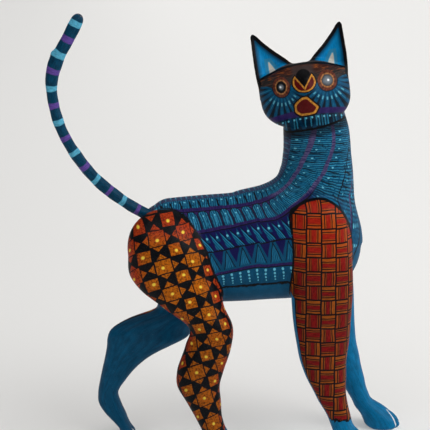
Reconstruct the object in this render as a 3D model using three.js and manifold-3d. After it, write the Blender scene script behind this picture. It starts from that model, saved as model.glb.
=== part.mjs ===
// A painted wooden cat, about 305 mm high to the tip of its tail, standing on four feet and looking
// over its left shoulder at the viewer. The body, neck, head, ears, legs and paws are carved in one
// piece of wood, and the tail is a whittled stick plugged into the rump.
// Millimetres, +Z up, the cat walks towards +X and its face is turned towards -Y.
import * as THREE from "three";
import { mergeVertices } from "three/addons/utils/BufferGeometryUtils.js";
import Module from "manifold-3d";

// Driving sizes.
const FIGURE_HEIGHT = 305; // soles to the tip of the tail
const TAIL_PLUG_RADIUS = 4.1; // the round end of the stick
const SOCKET_DEPTH = 12; // how far the stick goes into the rump
const SOCKET_CLEARANCE = 0.3; // the gap round the plugged end and behind it
const BORE_RUN_OUT = 14; // how far the socket's cut runs out past the rump's curved face
const TOE_SLIT_WIDTH = 1.8; // the widest part of a slit between two toes
const TOE_SLIT_DEPTH = 3.6; // how far a slit cuts back into the paw
const TOES = 4; // toes on each paw

// The carving is a free form, drawn for a figure DRAWN_HEIGHT tall, and every length in the tables
// below is a share of the figure's height: it is multiplied by GROW.
const DRAWN_HEIGHT = 305;
const GROW = FIGURE_HEIGHT / DRAWN_HEIGHT;

// Trunk, as upright sections along X: [x, underside z, back z, half width].
const TRUNK = [
  [-54, 110, 174, 24],
  [-40, 107, 177, 25.5],
  [-20, 105.5, 179, 26.5],
  [10, 105, 181, 27],
  [36, 106, 184, 27.5],
  [60, 107, 187, 28],
  [80, 110, 187, 27],
  [104, 112, 180, 24],
];
const RUMP_DOME = 22; // length of the rounded rump
const CHEST_DOME = 26; // length of the rounded chest

// Level sections of the neck and legs, from the top down:
// [z, middle x, half length along X, middle y, half width along Y].
const NECK = [
  [247, 66, 19, -2, 16],
  [225, 69.5, 22.5, -1, 19],
  [208, 70.5, 23.5, 0, 20],
  [198, 70.3, 25, 0, 20.5],
  [190, 69, 27.7, 0, 21.5],
  [185, 66, 31.5, 0, 21.5],
  [181, 62, 36, 0, 20.5],
  [172, 66, 33, 0, 21.5],
  [150, 74, 27, 0, 22],
];
const NEAR_HIND_LEG = [
  [174, -37, 26, -17, 15],
  [160, -36.3, 26.3, -18, 17.5],
  [145, -33.5, 27.5, -19, 18.5],
  [128, -30, 29, -20, 18.5],
  [119, -25, 27, -21, 18],
  [108, -17, 21, -23, 16.5],
  [93, -5, 15, -26, 14],
  [80, -7, 15.8, -27, 13],
  [62, -12.8, 15.8, -28, 12],
  [54, -14, 14.8, -28.5, 11.3],
  [42, -10.5, 12, -29, 10],
  [30, -6.8, 9.3, -29.5, 9],
  [20, -2.5, 8.7, -30, 9],
  [12, 2.5, 11, -30.7, 10.5],
  [5, 7, 14, -31, 12],
  [2, 7.6, 13.6, -31, 12],
  [0, 7.8, 11.4, -31, 10.3],
];
const FAR_HIND_LEG = [
  [172, -33, 24, 17, 15],
  [155, -30, 24, 18, 17.5],
  [130, -28, 25, 19, 18.5],
  [112, -25, 21, 20, 17.5],
  [100, -22, 17, 21, 15.5],
  [93, -23.5, 18.5, 21.5, 14.5],
  [86.5, -35, 25, 22, 14],
  [80, -43, 28.5, 22.3, 13.5],
  [73, -46.5, 28.5, 22.6, 13],
  [67, -52.5, 23, 23, 12],
  [61, -59, 17.5, 23.3, 11.2],
  [52, -66, 12.5, 23.6, 10.2],
  [42, -71.3, 9.3, 24, 9],
  [32, -75, 7.2, 24, 8],
  [25, -74, 8, 24, 8],
  [17, -70, 7.4, 24, 8.5],
  [10, -65.6, 5.6, 24, 9.2],
  [4.5, -62, 5.2, 24, 9.8],
  [2, -61, 6, 24, 9.8],
  [0, -60.6, 5, 24, 8.6],
];
const NEAR_FORELEG = [
  [181.3, 68.5, 23, -21, 12.5],
  [164, 68.5, 20.5, -20.5, 13.5],
  [150, 69.7, 21.2, -20.5, 14.5],
  [130, 71.5, 21.5, -21, 14.8],
  [110, 72, 21, -21.5, 14.5],
  [96, 72, 20, -22.5, 14],
  [82, 72.5, 18.5, -23.5, 13],
  [67, 73, 16, -24.5, 12],
  [56, 75, 14, -25, 11],
  [46, 77.5, 11.5, -25.5, 10],
  [38, 80, 10, -26, 9.2],
  [29, 83.7, 8.3, -26.5, 8.5],
  [20, 87, 8, -27, 8.8],
  [13, 91.5, 10.2, -27.6, 10.5],
  [5, 94.5, 12.8, -28, 12],
  [2, 94.7, 12.5, -28, 12],
  [0, 94.7, 10.3, -28, 10.3],
];
const FAR_FORELEG = [
  [180, 75, 21, 20, 12.5],
  [164, 77, 19.5, 20, 13.5],
  [150, 78.5, 20, 20, 14.5],
  [130, 79, 19.5, 20.2, 14.8],
  [110, 81, 20, 20.5, 14.5],
  [98, 82.5, 19.5, 21.3, 13.8],
  [80, 86.5, 16.5, 22.3, 12.5],
  [66, 90.5, 14, 23, 11.3],
  [57, 94, 12.7, 23.4, 10.6],
  [48, 97.8, 10.7, 23.8, 9.7],
  [39, 102, 9, 24.2, 9],
  [29, 105.8, 7.8, 24.6, 8.4],
  [20.5, 110.6, 7.8, 24.8, 8.8],
  [16, 115, 10.2, 25, 9.8],
  [11, 120.3, 11.7, 25, 11],
  [5, 124.4, 12.9, 25, 12],
  [2, 125.6, 12.6, 25, 12],
  [0, 126, 10.4, 25, 10.3],
];
const HAUNCH_DOME = 30; // height of the rounded top of a thigh
const SHOULDER_DOME = 20; // height of the rounded top of a foreleg
const PAW_HEIGHT = 22; // height of the ankle, where the paw starts
const SECTION_POWER = 2.15; // 2 is a plain ellipse, more is squarer

// Head: an egg turned to face the viewer, in its own frame of right, back and up.
const HEAD_CENTRE = [61, -6, 249.6];
const HEAD_TURN = -5; // degrees round Z from facing -Y
const HEAD_LIFT = 8; // degrees that the face looks up
const HEAD_TILT = 8.5; // degrees that its right-hand side, as seen, is raised
const HEAD_HALF = { across: 30.5, deep: 21, high: 22 };
const HEAD_POWER = 2.4;
const FACE_DEPTH = 8.4; // how far in front of the head's middle the swellings reach their full size

// Swellings of the face: [across, up, radius across, radius up, forward, upward].
const FACE_SWELLINGS = [
  [0, 0, 11.5, 13, 8, 1.5], // muzzle
  [0, 10.5, 3.8, 4.6, 3, 0.6], // nose
  [15.6, 7.8, 5.2, 5, 1.6, 0], // right eye as seen
  [-15.6, 7.8, 5.2, 5, 1.6, 0], // left eye as seen
  [0, -16.5, 8, 4, 1.6, -0.6], // chin
];

// Ear, as level sections in the head's frame: [up, inner edge, outer edge, back, half thickness].
const EAR = [
  [2, 8, 29.6, 1, 7],
  [8, 5, 30.6, 1, 6.2],
  [14.6, 4.5, 31.4, 1, 5.4],
  [21.4, 6, 31.7, 1, 4.6],
  [33, 17.4, 31.6, 1.6, 3.2],
  [41, 25.6, 31.1, 2.2, 2],
  [45.5, 29.8, 30.6, 2.6, 0.9],
];
const EAR_DISH = 0.85; // depth of the hollow front, as a share of the ear's thickness
const EAR_POINT = 0.6; // how far the tip stands above the last section

// Tail, as a line in the plane y = 0: [x, z], from the rump to the tip, with the stick's radius.
const TAIL_LINE = [
  [-45, 166.2],
  [-63, 177],
  [-82, 193],
  [-95, 210],
  [-104, 227],
  [-109, 243],
  [-110.3, 258],
  [-107.2, 271.5],
  [-98.8, 288],
  [-90.2, 304.5],
];
const TAIL_RADII = [
  [0, 4.1],
  [0.25, 4.2],
  [0.5, 3.9],
  [0.62, 3.9],
  [0.71, 4.4],
  [0.78, 5.1],
  [0.86, 4.6],
  [1, 4.6],
];
const TAIL_TIP_DOME = 5; // length of the rounded tip

// Slits between the toes: which way each paw points, in degrees from +X, and how high the slits rise.
const PAWS = [
  { leg: NEAR_HIND_LEG, heading: -8 },
  { leg: FAR_HIND_LEG, heading: 0 },
  { leg: NEAR_FORELEG, heading: -8 },
  { leg: FAR_FORELEG, heading: 0 },
];
const SLIT_HEIGHT = 7.5; // half height of a slit
const SLIT_LEVEL = 3.5; // height of its middle above the ground
const TOE_FAN = 26; // degrees between one slit and the next

// How finely the faces are cut.
const TRUNK_SIDES = 26;
const TRUNK_STEP = 11;
const NECK_STEP = 9;
const HIND_LEG_STEP = 6.7;
const FORELEG_STEP = 9;
const LEG_SIDES = 20;
const NECK_SIDES = 26;
const HEAD_SIDES = 30;
const HEAD_CROWDING = 0.5; // how much closer the head's points stand on the face than behind
const HEAD_ROWS = 18;
const EAR_SIDES = 14;
const EAR_ROWS = 7;
const TAIL_SIDES = 10;
const TAIL_STEPS = 40;
const TIP_STEPS = 4;
const SOCKET_SIDES = 20;
const DOME_STEPS = 5;
const PAW_STEPS = 6;

// Finishes.
const PAINT = { color: 0x0a4a70, roughness: 0.32, metalness: 0 };
const TAIL_PAINT = { color: 0x0d4553, roughness: 0.4, metalness: 0 };

const wasm = await Module();
wasm.setup();
const TURN = 2 * Math.PI;

// A table read at one place of its first column, on a smooth curve through its rows: cubic pieces
// whose slope at each row is that of the parabola through the row and its two neighbours.
function readTable(rows, place) {
  const rising = rows[0][0] < rows[rows.length - 1][0];
  const table = rising ? rows : [...rows].reverse();
  const last = table.length - 1;
  let k = 0;
  while (k < last - 1 && place > table[k + 1][0]) k += 1;
  const width = table[k + 1][0] - table[k][0];
  const t = (place - table[k][0]) / width;
  const chord = (i, column) => (table[i + 1][column] - table[i][column]) / (table[i + 1][0] - table[i][0]);
  const slope = (i, column) => {
    if (i === 0) return chord(0, column);
    if (i === last) return chord(last - 1, column);
    const before = table[i][0] - table[i - 1][0];
    const after = table[i + 1][0] - table[i][0];
    return (chord(i - 1, column) * after + chord(i, column) * before) / (before + after);
  };
  return table[0].map((_, column) => {
    const start = table[k][column];
    const end = table[k + 1][column];
    const rise = end - start;
    const pullStart = slope(k, column) * width - rise;
    const pullEnd = rise - slope(k + 1, column) * width;
    return start + t * rise + t * (1 - t) * ((1 - t) * pullStart + t * pullEnd);
  });
}

// The share of its full size that a section has at a distance from a rounded end.
function dome(distance, length) {
  if (distance >= length) return 1;
  return Math.sqrt(Math.max(0, 1 - (1 - distance / length) ** 2));
}

// Places from one rounded end to the other, close together where the form curves over.
function placesAlong(start, end, startDome, endDome, step) {
  const sign = Math.sign(end - start);
  const total = Math.abs(end - start);
  const places = [];
  for (let i = 1; i <= DOME_STEPS && startDome > 0; i += 1) {
    places.push(startDome * (1 - Math.cos((i / DOME_STEPS) * (Math.PI / 2))));
  }
  const middle = total - startDome - endDome;
  const count = Math.max(1, Math.round(middle / step));
  for (let i = startDome > 0 ? 1 : 0; i <= count; i += 1) places.push(startDome + (middle * i) / count);
  for (let i = DOME_STEPS - 1; i >= 1 && endDome > 0; i -= 1) {
    places.push(total - endDome * (1 - Math.cos((i / DOME_STEPS) * (Math.PI / 2))));
  }
  return places.map((distance) => start + sign * distance);
}

// The points of a squarish ellipse, as pairs from -1 to 1. Crowding draws them together where the
// second number is near -1.
function sectionPoints(sides, power, crowding = 0) {
  return Array.from({ length: sides }, (_, i) => {
    const turn = (TURN * i) / sides;
    const angle = turn - crowding * Math.cos(turn);
    const across = Math.cos(angle);
    const along = Math.sin(angle);
    const reach = (Math.abs(across) ** power + Math.abs(along) ** power) ** (-1 / power);
    return [across * reach, along * reach];
  });
}

// A closed skin over rings of points, with one point at each end, grown to the figure's height.
function skin(rings, startPoint, endPoint) {
  const points = [startPoint, ...rings.flat(), endPoint].flat().map((value) => value * GROW);
  const sides = rings[0].length;
  const at = (ring, side) => 1 + ring * sides + (side % sides);
  const lastPoint = rings.length * sides + 1;
  const faces = [];
  for (let side = 0; side < sides; side += 1) {
    faces.push(0, at(0, side + 1), at(0, side));
    faces.push(lastPoint, at(rings.length - 1, side), at(rings.length - 1, side + 1));
    for (let ring = 0; ring < rings.length - 1; ring += 1) {
      faces.push(at(ring, side), at(ring, side + 1), at(ring + 1, side + 1));
      faces.push(at(ring, side), at(ring + 1, side + 1), at(ring + 1, side));
    }
  }
  const geometry = new THREE.BufferGeometry();
  geometry.setAttribute("position", new THREE.Float32BufferAttribute(points, 3));
  geometry.setIndex(faces);
  return geometry;
}

// A three.js geometry as a solid, turned right side out.
function solid(source) {
  const bare = source.clone();
  bare.deleteAttribute("normal");
  bare.deleteAttribute("uv");
  const merged = mergeVertices(bare, 1e-5);
  const triVerts = new Uint32Array(merged.index.array);
  const place = merged.attributes.position;
  const a = new THREE.Vector3();
  const b = new THREE.Vector3();
  const c = new THREE.Vector3();
  let volume = 0;
  for (let i = 0; i < triVerts.length; i += 3) {
    a.fromBufferAttribute(place, triVerts[i]);
    b.fromBufferAttribute(place, triVerts[i + 1]);
    c.fromBufferAttribute(place, triVerts[i + 2]);
    volume += a.dot(b.cross(c));
  }
  if (volume < 0) {
    for (let i = 0; i < triVerts.length; i += 3) {
      [triVerts[i], triVerts[i + 1]] = [triVerts[i + 1], triVerts[i]];
    }
  }
  const vertProperties = new Float32Array(place.array);
  return new wasm.Manifold(new wasm.Mesh({ numProp: 3, vertProperties, triVerts }));
}

// A solid as a three.js geometry.
function geometryOf(body) {
  const mesh = body.getMesh();
  const geometry = new THREE.BufferGeometry();
  geometry.setAttribute("position", new THREE.Float32BufferAttribute(mesh.vertProperties, 3));
  geometry.setIndex(new THREE.Uint32BufferAttribute(mesh.triVerts, 1));
  geometry.computeVertexNormals();
  return geometry;
}

// The trunk, from the rounded rump to the rounded chest.
function trunk() {
  const start = TRUNK[0][0];
  const end = TRUNK[TRUNK.length - 1][0];
  const outline = sectionPoints(TRUNK_SIDES, SECTION_POWER);
  const middleOf = (x) => {
    const [, under, back] = readTable(TRUNK, x);
    return (under + back) / 2;
  };
  const rings = placesAlong(start, end, RUMP_DOME, CHEST_DOME, TRUNK_STEP).map((x) => {
    const [, under, back, halfWidth] = readTable(TRUNK, x);
    const size = dome(x - start, RUMP_DOME) * dome(end - x, CHEST_DOME);
    const halfHeight = (back - under) / 2;
    return outline.map(([w, h]) => [x, w * halfWidth * size, middleOf(x) + h * halfHeight * size]);
  });
  return solid(skin(rings, [start, 0, middleOf(start)], [end, 0, middleOf(end)]));
}

// A limb of level sections, with a rounded top where a dome height is given. Its lowest part, the
// paw, is cut more finely.
function limb(rows, topDome, sides, step, pawHeight = 0) {
  const top = rows[0][0];
  const bottom = rows[rows.length - 1][0];
  const outline = sectionPoints(sides, SECTION_POWER);
  const levels = placesAlong(top, pawHeight > 0 ? pawHeight : bottom, topDome, 0, step);
  for (let i = 1; i <= PAW_STEPS && pawHeight > 0; i += 1) {
    levels.push(pawHeight * (1 - Math.sin((i / PAW_STEPS) * (Math.PI / 2))));
  }
  const rings = levels.map((z) => {
    const [, middleX, halfX, middleY, halfY] = readTable(rows, z);
    const size = topDome > 0 ? dome(top - z, topDome) : 1;
    return outline.map(([p, q]) => [middleX + p * halfX * size, middleY + q * halfY * size, z]);
  });
  const centre = (row) => [row[1], row[3], row[0]];
  return solid(skin(rings, centre(rows[0]), centre(rows[rows.length - 1])));
}

// The slits between the toes of one paw: thin upright lenses that fan out from the paw's middle.
function toeSlits({ leg, heading }) {
  const [, middleX, halfX, middleY, halfY] = readTable(leg, SLIT_LEVEL);
  return Array.from({ length: TOES - 1 }, (_, i) => {
    const turn = THREE.MathUtils.degToRad((i - (TOES - 2) / 2) * TOE_FAN + heading);
    const x = (middleX + Math.cos(turn) * halfX) * GROW;
    const y = (middleY + Math.sin(turn) * halfY) * GROW;
    const lens = new THREE.SphereGeometry(1, 8, 6);
    lens.scale(TOE_SLIT_DEPTH, TOE_SLIT_WIDTH / 2, SLIT_HEIGHT * GROW);
    lens.rotateZ(turn);
    lens.translate(x, y, SLIT_LEVEL * GROW);
    return solid(lens);
  });
}

// The head's frame: a matrix from right, back and up to the figure's axes.
function headFrame() {
  const turn = THREE.MathUtils.degToRad(HEAD_TURN);
  const lift = THREE.MathUtils.degToRad(HEAD_LIFT);
  const level = new THREE.Vector3(Math.cos(turn), Math.sin(turn), 0);
  const levelBack = new THREE.Vector3(-Math.sin(turn), Math.cos(turn), 0);
  const back = levelBack.applyAxisAngle(level, -lift);
  const right = level.clone().applyAxisAngle(back, -THREE.MathUtils.degToRad(HEAD_TILT));
  const up = new THREE.Vector3().crossVectors(right, back);
  return new THREE.Matrix4().makeBasis(right, back, up).setPosition(...HEAD_CENTRE);
}

// Points of the head's frame as points of the figure.
function fromHead(frame, points) {
  return points.map((p) => new THREE.Vector3(...p).applyMatrix4(frame).toArray());
}

// The face's swellings pushed forward and up, on the front half of the head only.
function swell([across, back, up]) {
  if (back >= 0) return [across, back, up];
  const front = Math.min(1, -back / FACE_DEPTH);
  let forward = 0;
  let raise = 0;
  for (const [a, u, radiusAcross, radiusUp, push, lift] of FACE_SWELLINGS) {
    const fade = Math.exp(-(((across - a) / radiusAcross) ** 2) - ((up - u) / radiusUp) ** 2);
    forward += push * fade * front;
    raise += lift * fade * front;
  }
  return [across, back - forward, up + raise];
}

// The head, in level rings from its top to its chin, as a squarish egg with a swollen face.
function head(frame) {
  const half = HEAD_HALF;
  const outline = sectionPoints(HEAD_SIDES, 2, HEAD_CROWDING);
  const rings = Array.from({ length: HEAD_ROWS - 1 }, (_, i) => {
    const rise = Math.cos((Math.PI * (i + 1)) / HEAD_ROWS);
    const height = Math.sign(rise) * Math.abs(rise) ** (2 / HEAD_POWER);
    const size = (1 - Math.abs(height) ** HEAD_POWER) ** (1 / HEAD_POWER);
    const across = half.across * size;
    const deep = half.deep * size;
    const ring = outline.map(([p, q]) => swell([p * across, q * deep, height * half.high]));
    return fromHead(frame, ring);
  });
  const [top, chin] = fromHead(frame, [[0, 0, half.high], [0, 0, -half.high]]);
  return solid(skin(rings, top, chin));
}

// One ear: a thin blade with a hollow front; side is 1 for the right-hand ear as seen, -1 for the left.
function ear(frame, side) {
  const outline = sectionPoints(EAR_SIDES, 2);
  const low = EAR[0][0];
  const high = EAR[EAR.length - 1][0];
  const ringAt = (up) => {
    const [, inner, outer, middle, halfThick] = readTable(EAR, up);
    const dish = 2 * halfThick * EAR_DISH;
    return outline.map(([p, q]) => {
      const across = (inner + outer) / 2 + (p * (outer - inner)) / 2;
      const back = q >= 0 ? q * halfThick : q * halfThick + dish * q * q;
      return [side * across, middle + back, up];
    });
  };
  const levels = Array.from({ length: EAR_ROWS + 1 }, (_, i) => low + ((high - low) * i) / EAR_ROWS);
  const rings = levels.map((up) => fromHead(frame, ringAt(up)));
  const centreOf = (row, up) => [side * (row[1] + row[2]) / 2, row[3] + row[4] / 2, up];
  const ends = [centreOf(EAR[0], low), centreOf(EAR[EAR.length - 1], high + EAR_POINT)];
  const [root, tip] = fromHead(frame, ends);
  return solid(skin(rings, root, tip));
}

// The line of the tail in the plane y = 0, with its straight plugged end before it.
function tailLine() {
  const points = TAIL_LINE.map(([x, z]) => new THREE.Vector3(x * GROW, 0, z * GROW));
  const line = new THREE.CatmullRomCurve3(points);
  const mouth = line.getPointAt(0);
  const heading = line.getTangentAt(0);
  return { line, mouth, heading };
}

// A ring of the stick round a point, square to its heading.
function stickRing(centre, heading, radius) {
  const normal = new THREE.Vector3(-heading.z, 0, heading.x);
  return sectionPoints(TAIL_SIDES, 2).map(([p, q]) => [
    (centre.x + normal.x * p * radius) / GROW,
    (centre.y + q * radius) / GROW,
    (centre.z + normal.z * p * radius) / GROW,
  ]);
}

// The tail: the plugged end, the whittled stick and its rounded tip.
function tail() {
  const { line, mouth, heading } = tailLine();
  const plugEnd = mouth.clone().addScaledVector(heading, -SOCKET_DEPTH);
  const length = line.getLength();
  const rings = [stickRing(plugEnd, heading, TAIL_PLUG_RADIUS), stickRing(mouth, heading, TAIL_PLUG_RADIUS)];
  const domeStart = 1 - (TAIL_TIP_DOME * GROW) / length;
  for (let i = 1; i <= TAIL_STEPS; i += 1) {
    const share = (domeStart * i) / TAIL_STEPS;
    const radius = readTable(TAIL_RADII, share)[1] * GROW;
    rings.push(stickRing(line.getPointAt(share), line.getTangentAt(share), radius));
  }
  const tipRadius = TAIL_RADII[TAIL_RADII.length - 1][1] * GROW;
  for (let i = 1; i < TIP_STEPS; i += 1) {
    const bend = (i / TIP_STEPS) * (Math.PI / 2);
    const share = domeStart + (1 - domeStart) * Math.sin(bend);
    rings.push(stickRing(line.getPointAt(share), line.getTangentAt(share), tipRadius * Math.cos(bend)));
  }
  const end = (point) => point.toArray().map((value) => value / GROW);
  return solid(skin(rings, end(plugEnd), end(line.getPointAt(1))));
}

// The socket bored in the rump for the tail, wider and deeper than the plugged end by the clearance.
function socket() {
  const { mouth, heading } = tailLine();
  const reach = SOCKET_DEPTH + SOCKET_CLEARANCE;
  const radius = TAIL_PLUG_RADIUS + SOCKET_CLEARANCE;
  const bore = new THREE.CylinderGeometry(radius, radius, reach + BORE_RUN_OUT, SOCKET_SIDES);
  bore.applyQuaternion(new THREE.Quaternion().setFromUnitVectors(new THREE.Vector3(0, 1, 0), heading));
  const middle = mouth.clone().addScaledVector(heading, (BORE_RUN_OUT - reach) / 2);
  bore.translate(...middle.toArray());
  return solid(bore);
}

// Everything that is carved in one: trunk, neck, head, ears and legs joined, slits and socket cut.
function catBody() {
  const frame = headFrame();
  const joined = [
    limb(NECK, 0, NECK_SIDES, NECK_STEP),
    limb(NEAR_HIND_LEG, HAUNCH_DOME, LEG_SIDES, HIND_LEG_STEP, PAW_HEIGHT),
    limb(FAR_HIND_LEG, HAUNCH_DOME, LEG_SIDES, HIND_LEG_STEP, PAW_HEIGHT),
    limb(NEAR_FORELEG, SHOULDER_DOME, LEG_SIDES, FORELEG_STEP, PAW_HEIGHT),
    limb(FAR_FORELEG, SHOULDER_DOME, LEG_SIDES, FORELEG_STEP, PAW_HEIGHT),
    head(frame),
    ear(frame, 1),
    ear(frame, -1),
  ].reduce((whole, piece) => whole.add(piece), trunk());
  const cuts = [socket(), ...PAWS.flatMap(toeSlits)];
  return cuts.reduce((whole, cut) => whole.subtract(cut), joined);
}

// The two pieces, moved together so that the middle of the whole figure's box is over the origin
// and its soles are at z = 0.
function figure() {
  const pieces = [
    ["cat_body", geometryOf(catBody()), PAINT],
    ["tail", geometryOf(tail()), TAIL_PAINT],
  ];
  const box = new THREE.Box3();
  for (const [, geometry] of pieces) {
    geometry.computeBoundingBox();
    box.union(geometry.boundingBox);
  }
  const centre = box.getCenter(new THREE.Vector3());
  const group = new THREE.Group();
  for (const [name, geometry, finish] of pieces) {
    geometry.translate(-centre.x, -centre.y, -box.min.z);
    const mesh = new THREE.Mesh(geometry, new THREE.MeshStandardMaterial(finish));
    mesh.name = name;
    group.add(mesh);
  }
  return group;
}

export default figure();
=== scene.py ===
"""A carved and painted wooden cat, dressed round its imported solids.

The body is one carved skin and the tail a whittled stick. Every length inside is in millimetres of
the drawing, whose origin lies under the trunk, and it is put into the frame, in metres, at the end.
"""

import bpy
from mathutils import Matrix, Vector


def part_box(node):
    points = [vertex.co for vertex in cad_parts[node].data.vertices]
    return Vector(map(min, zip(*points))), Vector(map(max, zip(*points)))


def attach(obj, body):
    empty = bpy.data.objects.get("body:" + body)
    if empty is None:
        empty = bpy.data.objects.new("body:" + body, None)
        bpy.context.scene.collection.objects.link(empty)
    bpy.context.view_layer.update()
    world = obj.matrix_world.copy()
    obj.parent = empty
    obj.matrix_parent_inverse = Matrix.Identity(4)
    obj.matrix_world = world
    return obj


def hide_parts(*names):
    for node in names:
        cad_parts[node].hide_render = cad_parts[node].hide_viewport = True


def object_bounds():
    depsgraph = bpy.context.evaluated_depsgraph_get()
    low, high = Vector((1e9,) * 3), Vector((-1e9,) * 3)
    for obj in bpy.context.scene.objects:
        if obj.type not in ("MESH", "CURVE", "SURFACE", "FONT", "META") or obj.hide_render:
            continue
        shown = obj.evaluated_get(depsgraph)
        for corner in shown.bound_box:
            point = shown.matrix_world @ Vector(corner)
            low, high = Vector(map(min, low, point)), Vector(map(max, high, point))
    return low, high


bl_info = {
    "name": "Painted Wooden Cat",
    "version": (1, 0, 0),
    "blender": (4, 5, 0),
    "location": "View3D > Sidebar > Cat",
    "description": "Builds a carved and painted wooden cat round its packed solids",
    "category": "Object",
}

import math
from types import SimpleNamespace

import bpy
import numpy as np
from bpy.props import FloatProperty, FloatVectorProperty, PointerProperty
from mathutils import Vector

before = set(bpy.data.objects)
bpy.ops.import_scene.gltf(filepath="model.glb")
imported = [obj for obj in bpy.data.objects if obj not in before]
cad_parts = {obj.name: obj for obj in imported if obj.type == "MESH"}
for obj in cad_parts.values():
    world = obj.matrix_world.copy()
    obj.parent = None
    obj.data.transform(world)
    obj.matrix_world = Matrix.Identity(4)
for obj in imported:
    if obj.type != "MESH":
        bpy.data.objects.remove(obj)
CAD_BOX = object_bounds()

MM = 0.001
DRAWN_TOP = 304.98  # the tip of the tail above the soles, in the drawing
DRAWN_FRONT = 138.34  # the foremost toe of the far foreleg, in the drawing
TAIL_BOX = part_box("tail")
BODY_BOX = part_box("cat_body")
GROW = TAIL_BOX[1].z / MM / DRAWN_TOP
SHIFT = np.array([
    BODY_BOX[1].x / MM / GROW - DRAWN_FRONT,
    (TAIL_BOX[0].y + TAIL_BOX[1].y) / 2 / MM / GROW,
    0.0,
])

# The carving, as in the solids. Trunk, as upright sections: [x, underside z, back z, half width].
TRUNK = [
    [-54, 110, 174, 24],
    [-40, 107, 177, 25.5],
    [-20, 105.5, 179, 26.5],
    [10, 105, 181, 27],
    [36, 106, 184, 27.5],
    [60, 107, 187, 28],
    [80, 110, 187, 27],
    [102, 112, 179, 24],
]
RUMP_DOME = 22
CHEST_DOME = 26

# Level sections: [z, middle x, half length along X, middle y, half width along Y].
NECK = [
    [247, 66, 19, -2, 16],
    [225, 69.5, 22.5, -1, 19],
    [208, 70.5, 23.5, 0, 20],
    [198, 70.3, 25, 0, 20.5],
    [190, 68.6, 27.3, 0, 21.5],
    [185, 65.4, 30.9, 0, 21.5],
    [181, 61.2, 35.2, 0, 20.5],
    [172, 64.6, 31.6, 0, 21.5],
    [150, 73, 26, 0, 22],
]
NEAR_HIND_LEG = [
    [174, -37, 26, -17, 15],
    [160, -36.3, 26.3, -18, 17.5],
    [145, -33.5, 27.5, -19, 18.5],
    [128, -30, 29, -20, 18.5],
    [119, -25, 27, -21, 18],
    [108, -17, 21, -23, 16.5],
    [93, -5, 15, -26, 14],
    [80, -7, 15.8, -27, 13],
    [62, -12.8, 15.8, -28, 12],
    [54, -14, 14.8, -28.5, 11.3],
    [42, -10.5, 12, -29, 10],
    [30, -6.8, 9.3, -29.5, 9],
    [20, -2.5, 8.7, -30, 9],
    [12, 2.5, 11, -30.7, 10.5],
    [5, 7, 14, -31, 12],
    [2, 7.6, 13.6, -31, 12],
    [0, 7.8, 11.4, -31, 10.3],
]
FAR_HIND_LEG = [
    [172, -33, 24, 17, 15],
    [155, -30, 24, 18, 17.5],
    [130, -28, 25, 19, 18.5],
    [112, -25, 21, 20, 17.5],
    [100, -22, 17, 21, 15.5],
    [93, -23.5, 18.5, 21.5, 14.5],
    [86.5, -35, 25, 22, 14],
    [80, -43, 28.5, 22.3, 13.5],
    [73, -46.5, 28.5, 22.6, 13],
    [67, -52.5, 23, 23, 12],
    [61, -59, 17.5, 23.3, 11.2],
    [52, -66, 12.5, 23.6, 10.2],
    [42, -71.3, 9.3, 24, 9],
    [32, -75, 7.2, 24, 8],
    [25, -74, 8, 24, 8],
    [17, -70, 7.4, 24, 8.5],
    [10, -65.6, 5.6, 24, 9.2],
    [4.5, -62, 5.2, 24, 9.8],
    [2, -61, 6, 24, 9.8],
    [0, -60.6, 5, 24, 8.6],
]
NEAR_FORELEG = [
    [181.3, 68.5, 23, -21, 12.5],
    [164, 68.5, 20.5, -20.5, 13.5],
    [150, 69.7, 21.2, -20.5, 14.5],
    [130, 71.5, 21.5, -21, 14.8],
    [110, 72, 21, -21.5, 14.5],
    [96, 72, 20, -22.5, 14],
    [82, 72.5, 18.5, -23.5, 13],
    [67, 73, 16, -24.5, 12],
    [56, 75, 14, -25, 11],
    [46, 77.5, 11.5, -25.5, 10],
    [38, 80, 10, -26, 9.2],
    [29, 83.7, 8.3, -26.5, 8.5],
    [20, 87, 8, -27, 8.8],
    [13, 91.5, 10.2, -27.6, 10.5],
    [5, 94.5, 12.8, -28, 12],
    [2, 94.7, 12.5, -28, 12],
    [0, 94.7, 10.3, -28, 10.3],
]
FAR_FORELEG = [
    [180, 75, 21, 20, 12.5],
    [164, 77, 19.5, 20, 13.5],
    [150, 78.5, 20, 20, 14.5],
    [130, 79, 19.5, 20.2, 14.8],
    [110, 81, 20, 20.5, 14.5],
    [98, 82.5, 19.5, 21.3, 13.8],
    [80, 86.5, 16.5, 22.3, 12.5],
    [66, 90.5, 14, 23, 11.3],
    [57, 94, 12.7, 23.4, 10.6],
    [48, 97.8, 10.7, 23.8, 9.7],
    [39, 102, 9, 24.2, 9],
    [29, 105.8, 7.8, 24.6, 8.4],
    [20.5, 110.6, 7.8, 24.8, 8.8],
    [16, 115, 10.2, 25, 9.8],
    [11, 120.3, 11.7, 25, 11],
    [5, 124.4, 12.9, 25, 12],
    [2, 125.6, 12.6, 25, 12],
    [0, 126, 10.4, 25, 10.3],
]
HAUNCH_DOME = 30
SHOULDER_DOME = 20
SECTION_POWER = 2.15

# The head: an egg in its own frame of right, back and up.
HEAD_CENTRE = (61, -6, 249.6)
HEAD_TURN = math.radians(-5)
HEAD_LIFT = math.radians(8)
HEAD_TILT = math.radians(8.5)
HEAD_ACROSS = 30.5
HEAD_DEEP = 21
HEAD_HIGH = 22
HEAD_POWER = 2.4
FACE_DEPTH = 8.4

# Swellings of the face: [across, up, radius across, radius up, forward, upward].
FACE_SWELLINGS = [
    [0, 0, 11.5, 13, 8, 1.5],
    [0, 10.5, 3.8, 4.6, 3, 0.6],
    [15.6, 7.8, 5.2, 5, 1.6, 0],
    [-15.6, 7.8, 5.2, 5, 1.6, 0],
    [0, -16.5, 8, 4, 1.6, -0.6],
]

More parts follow.
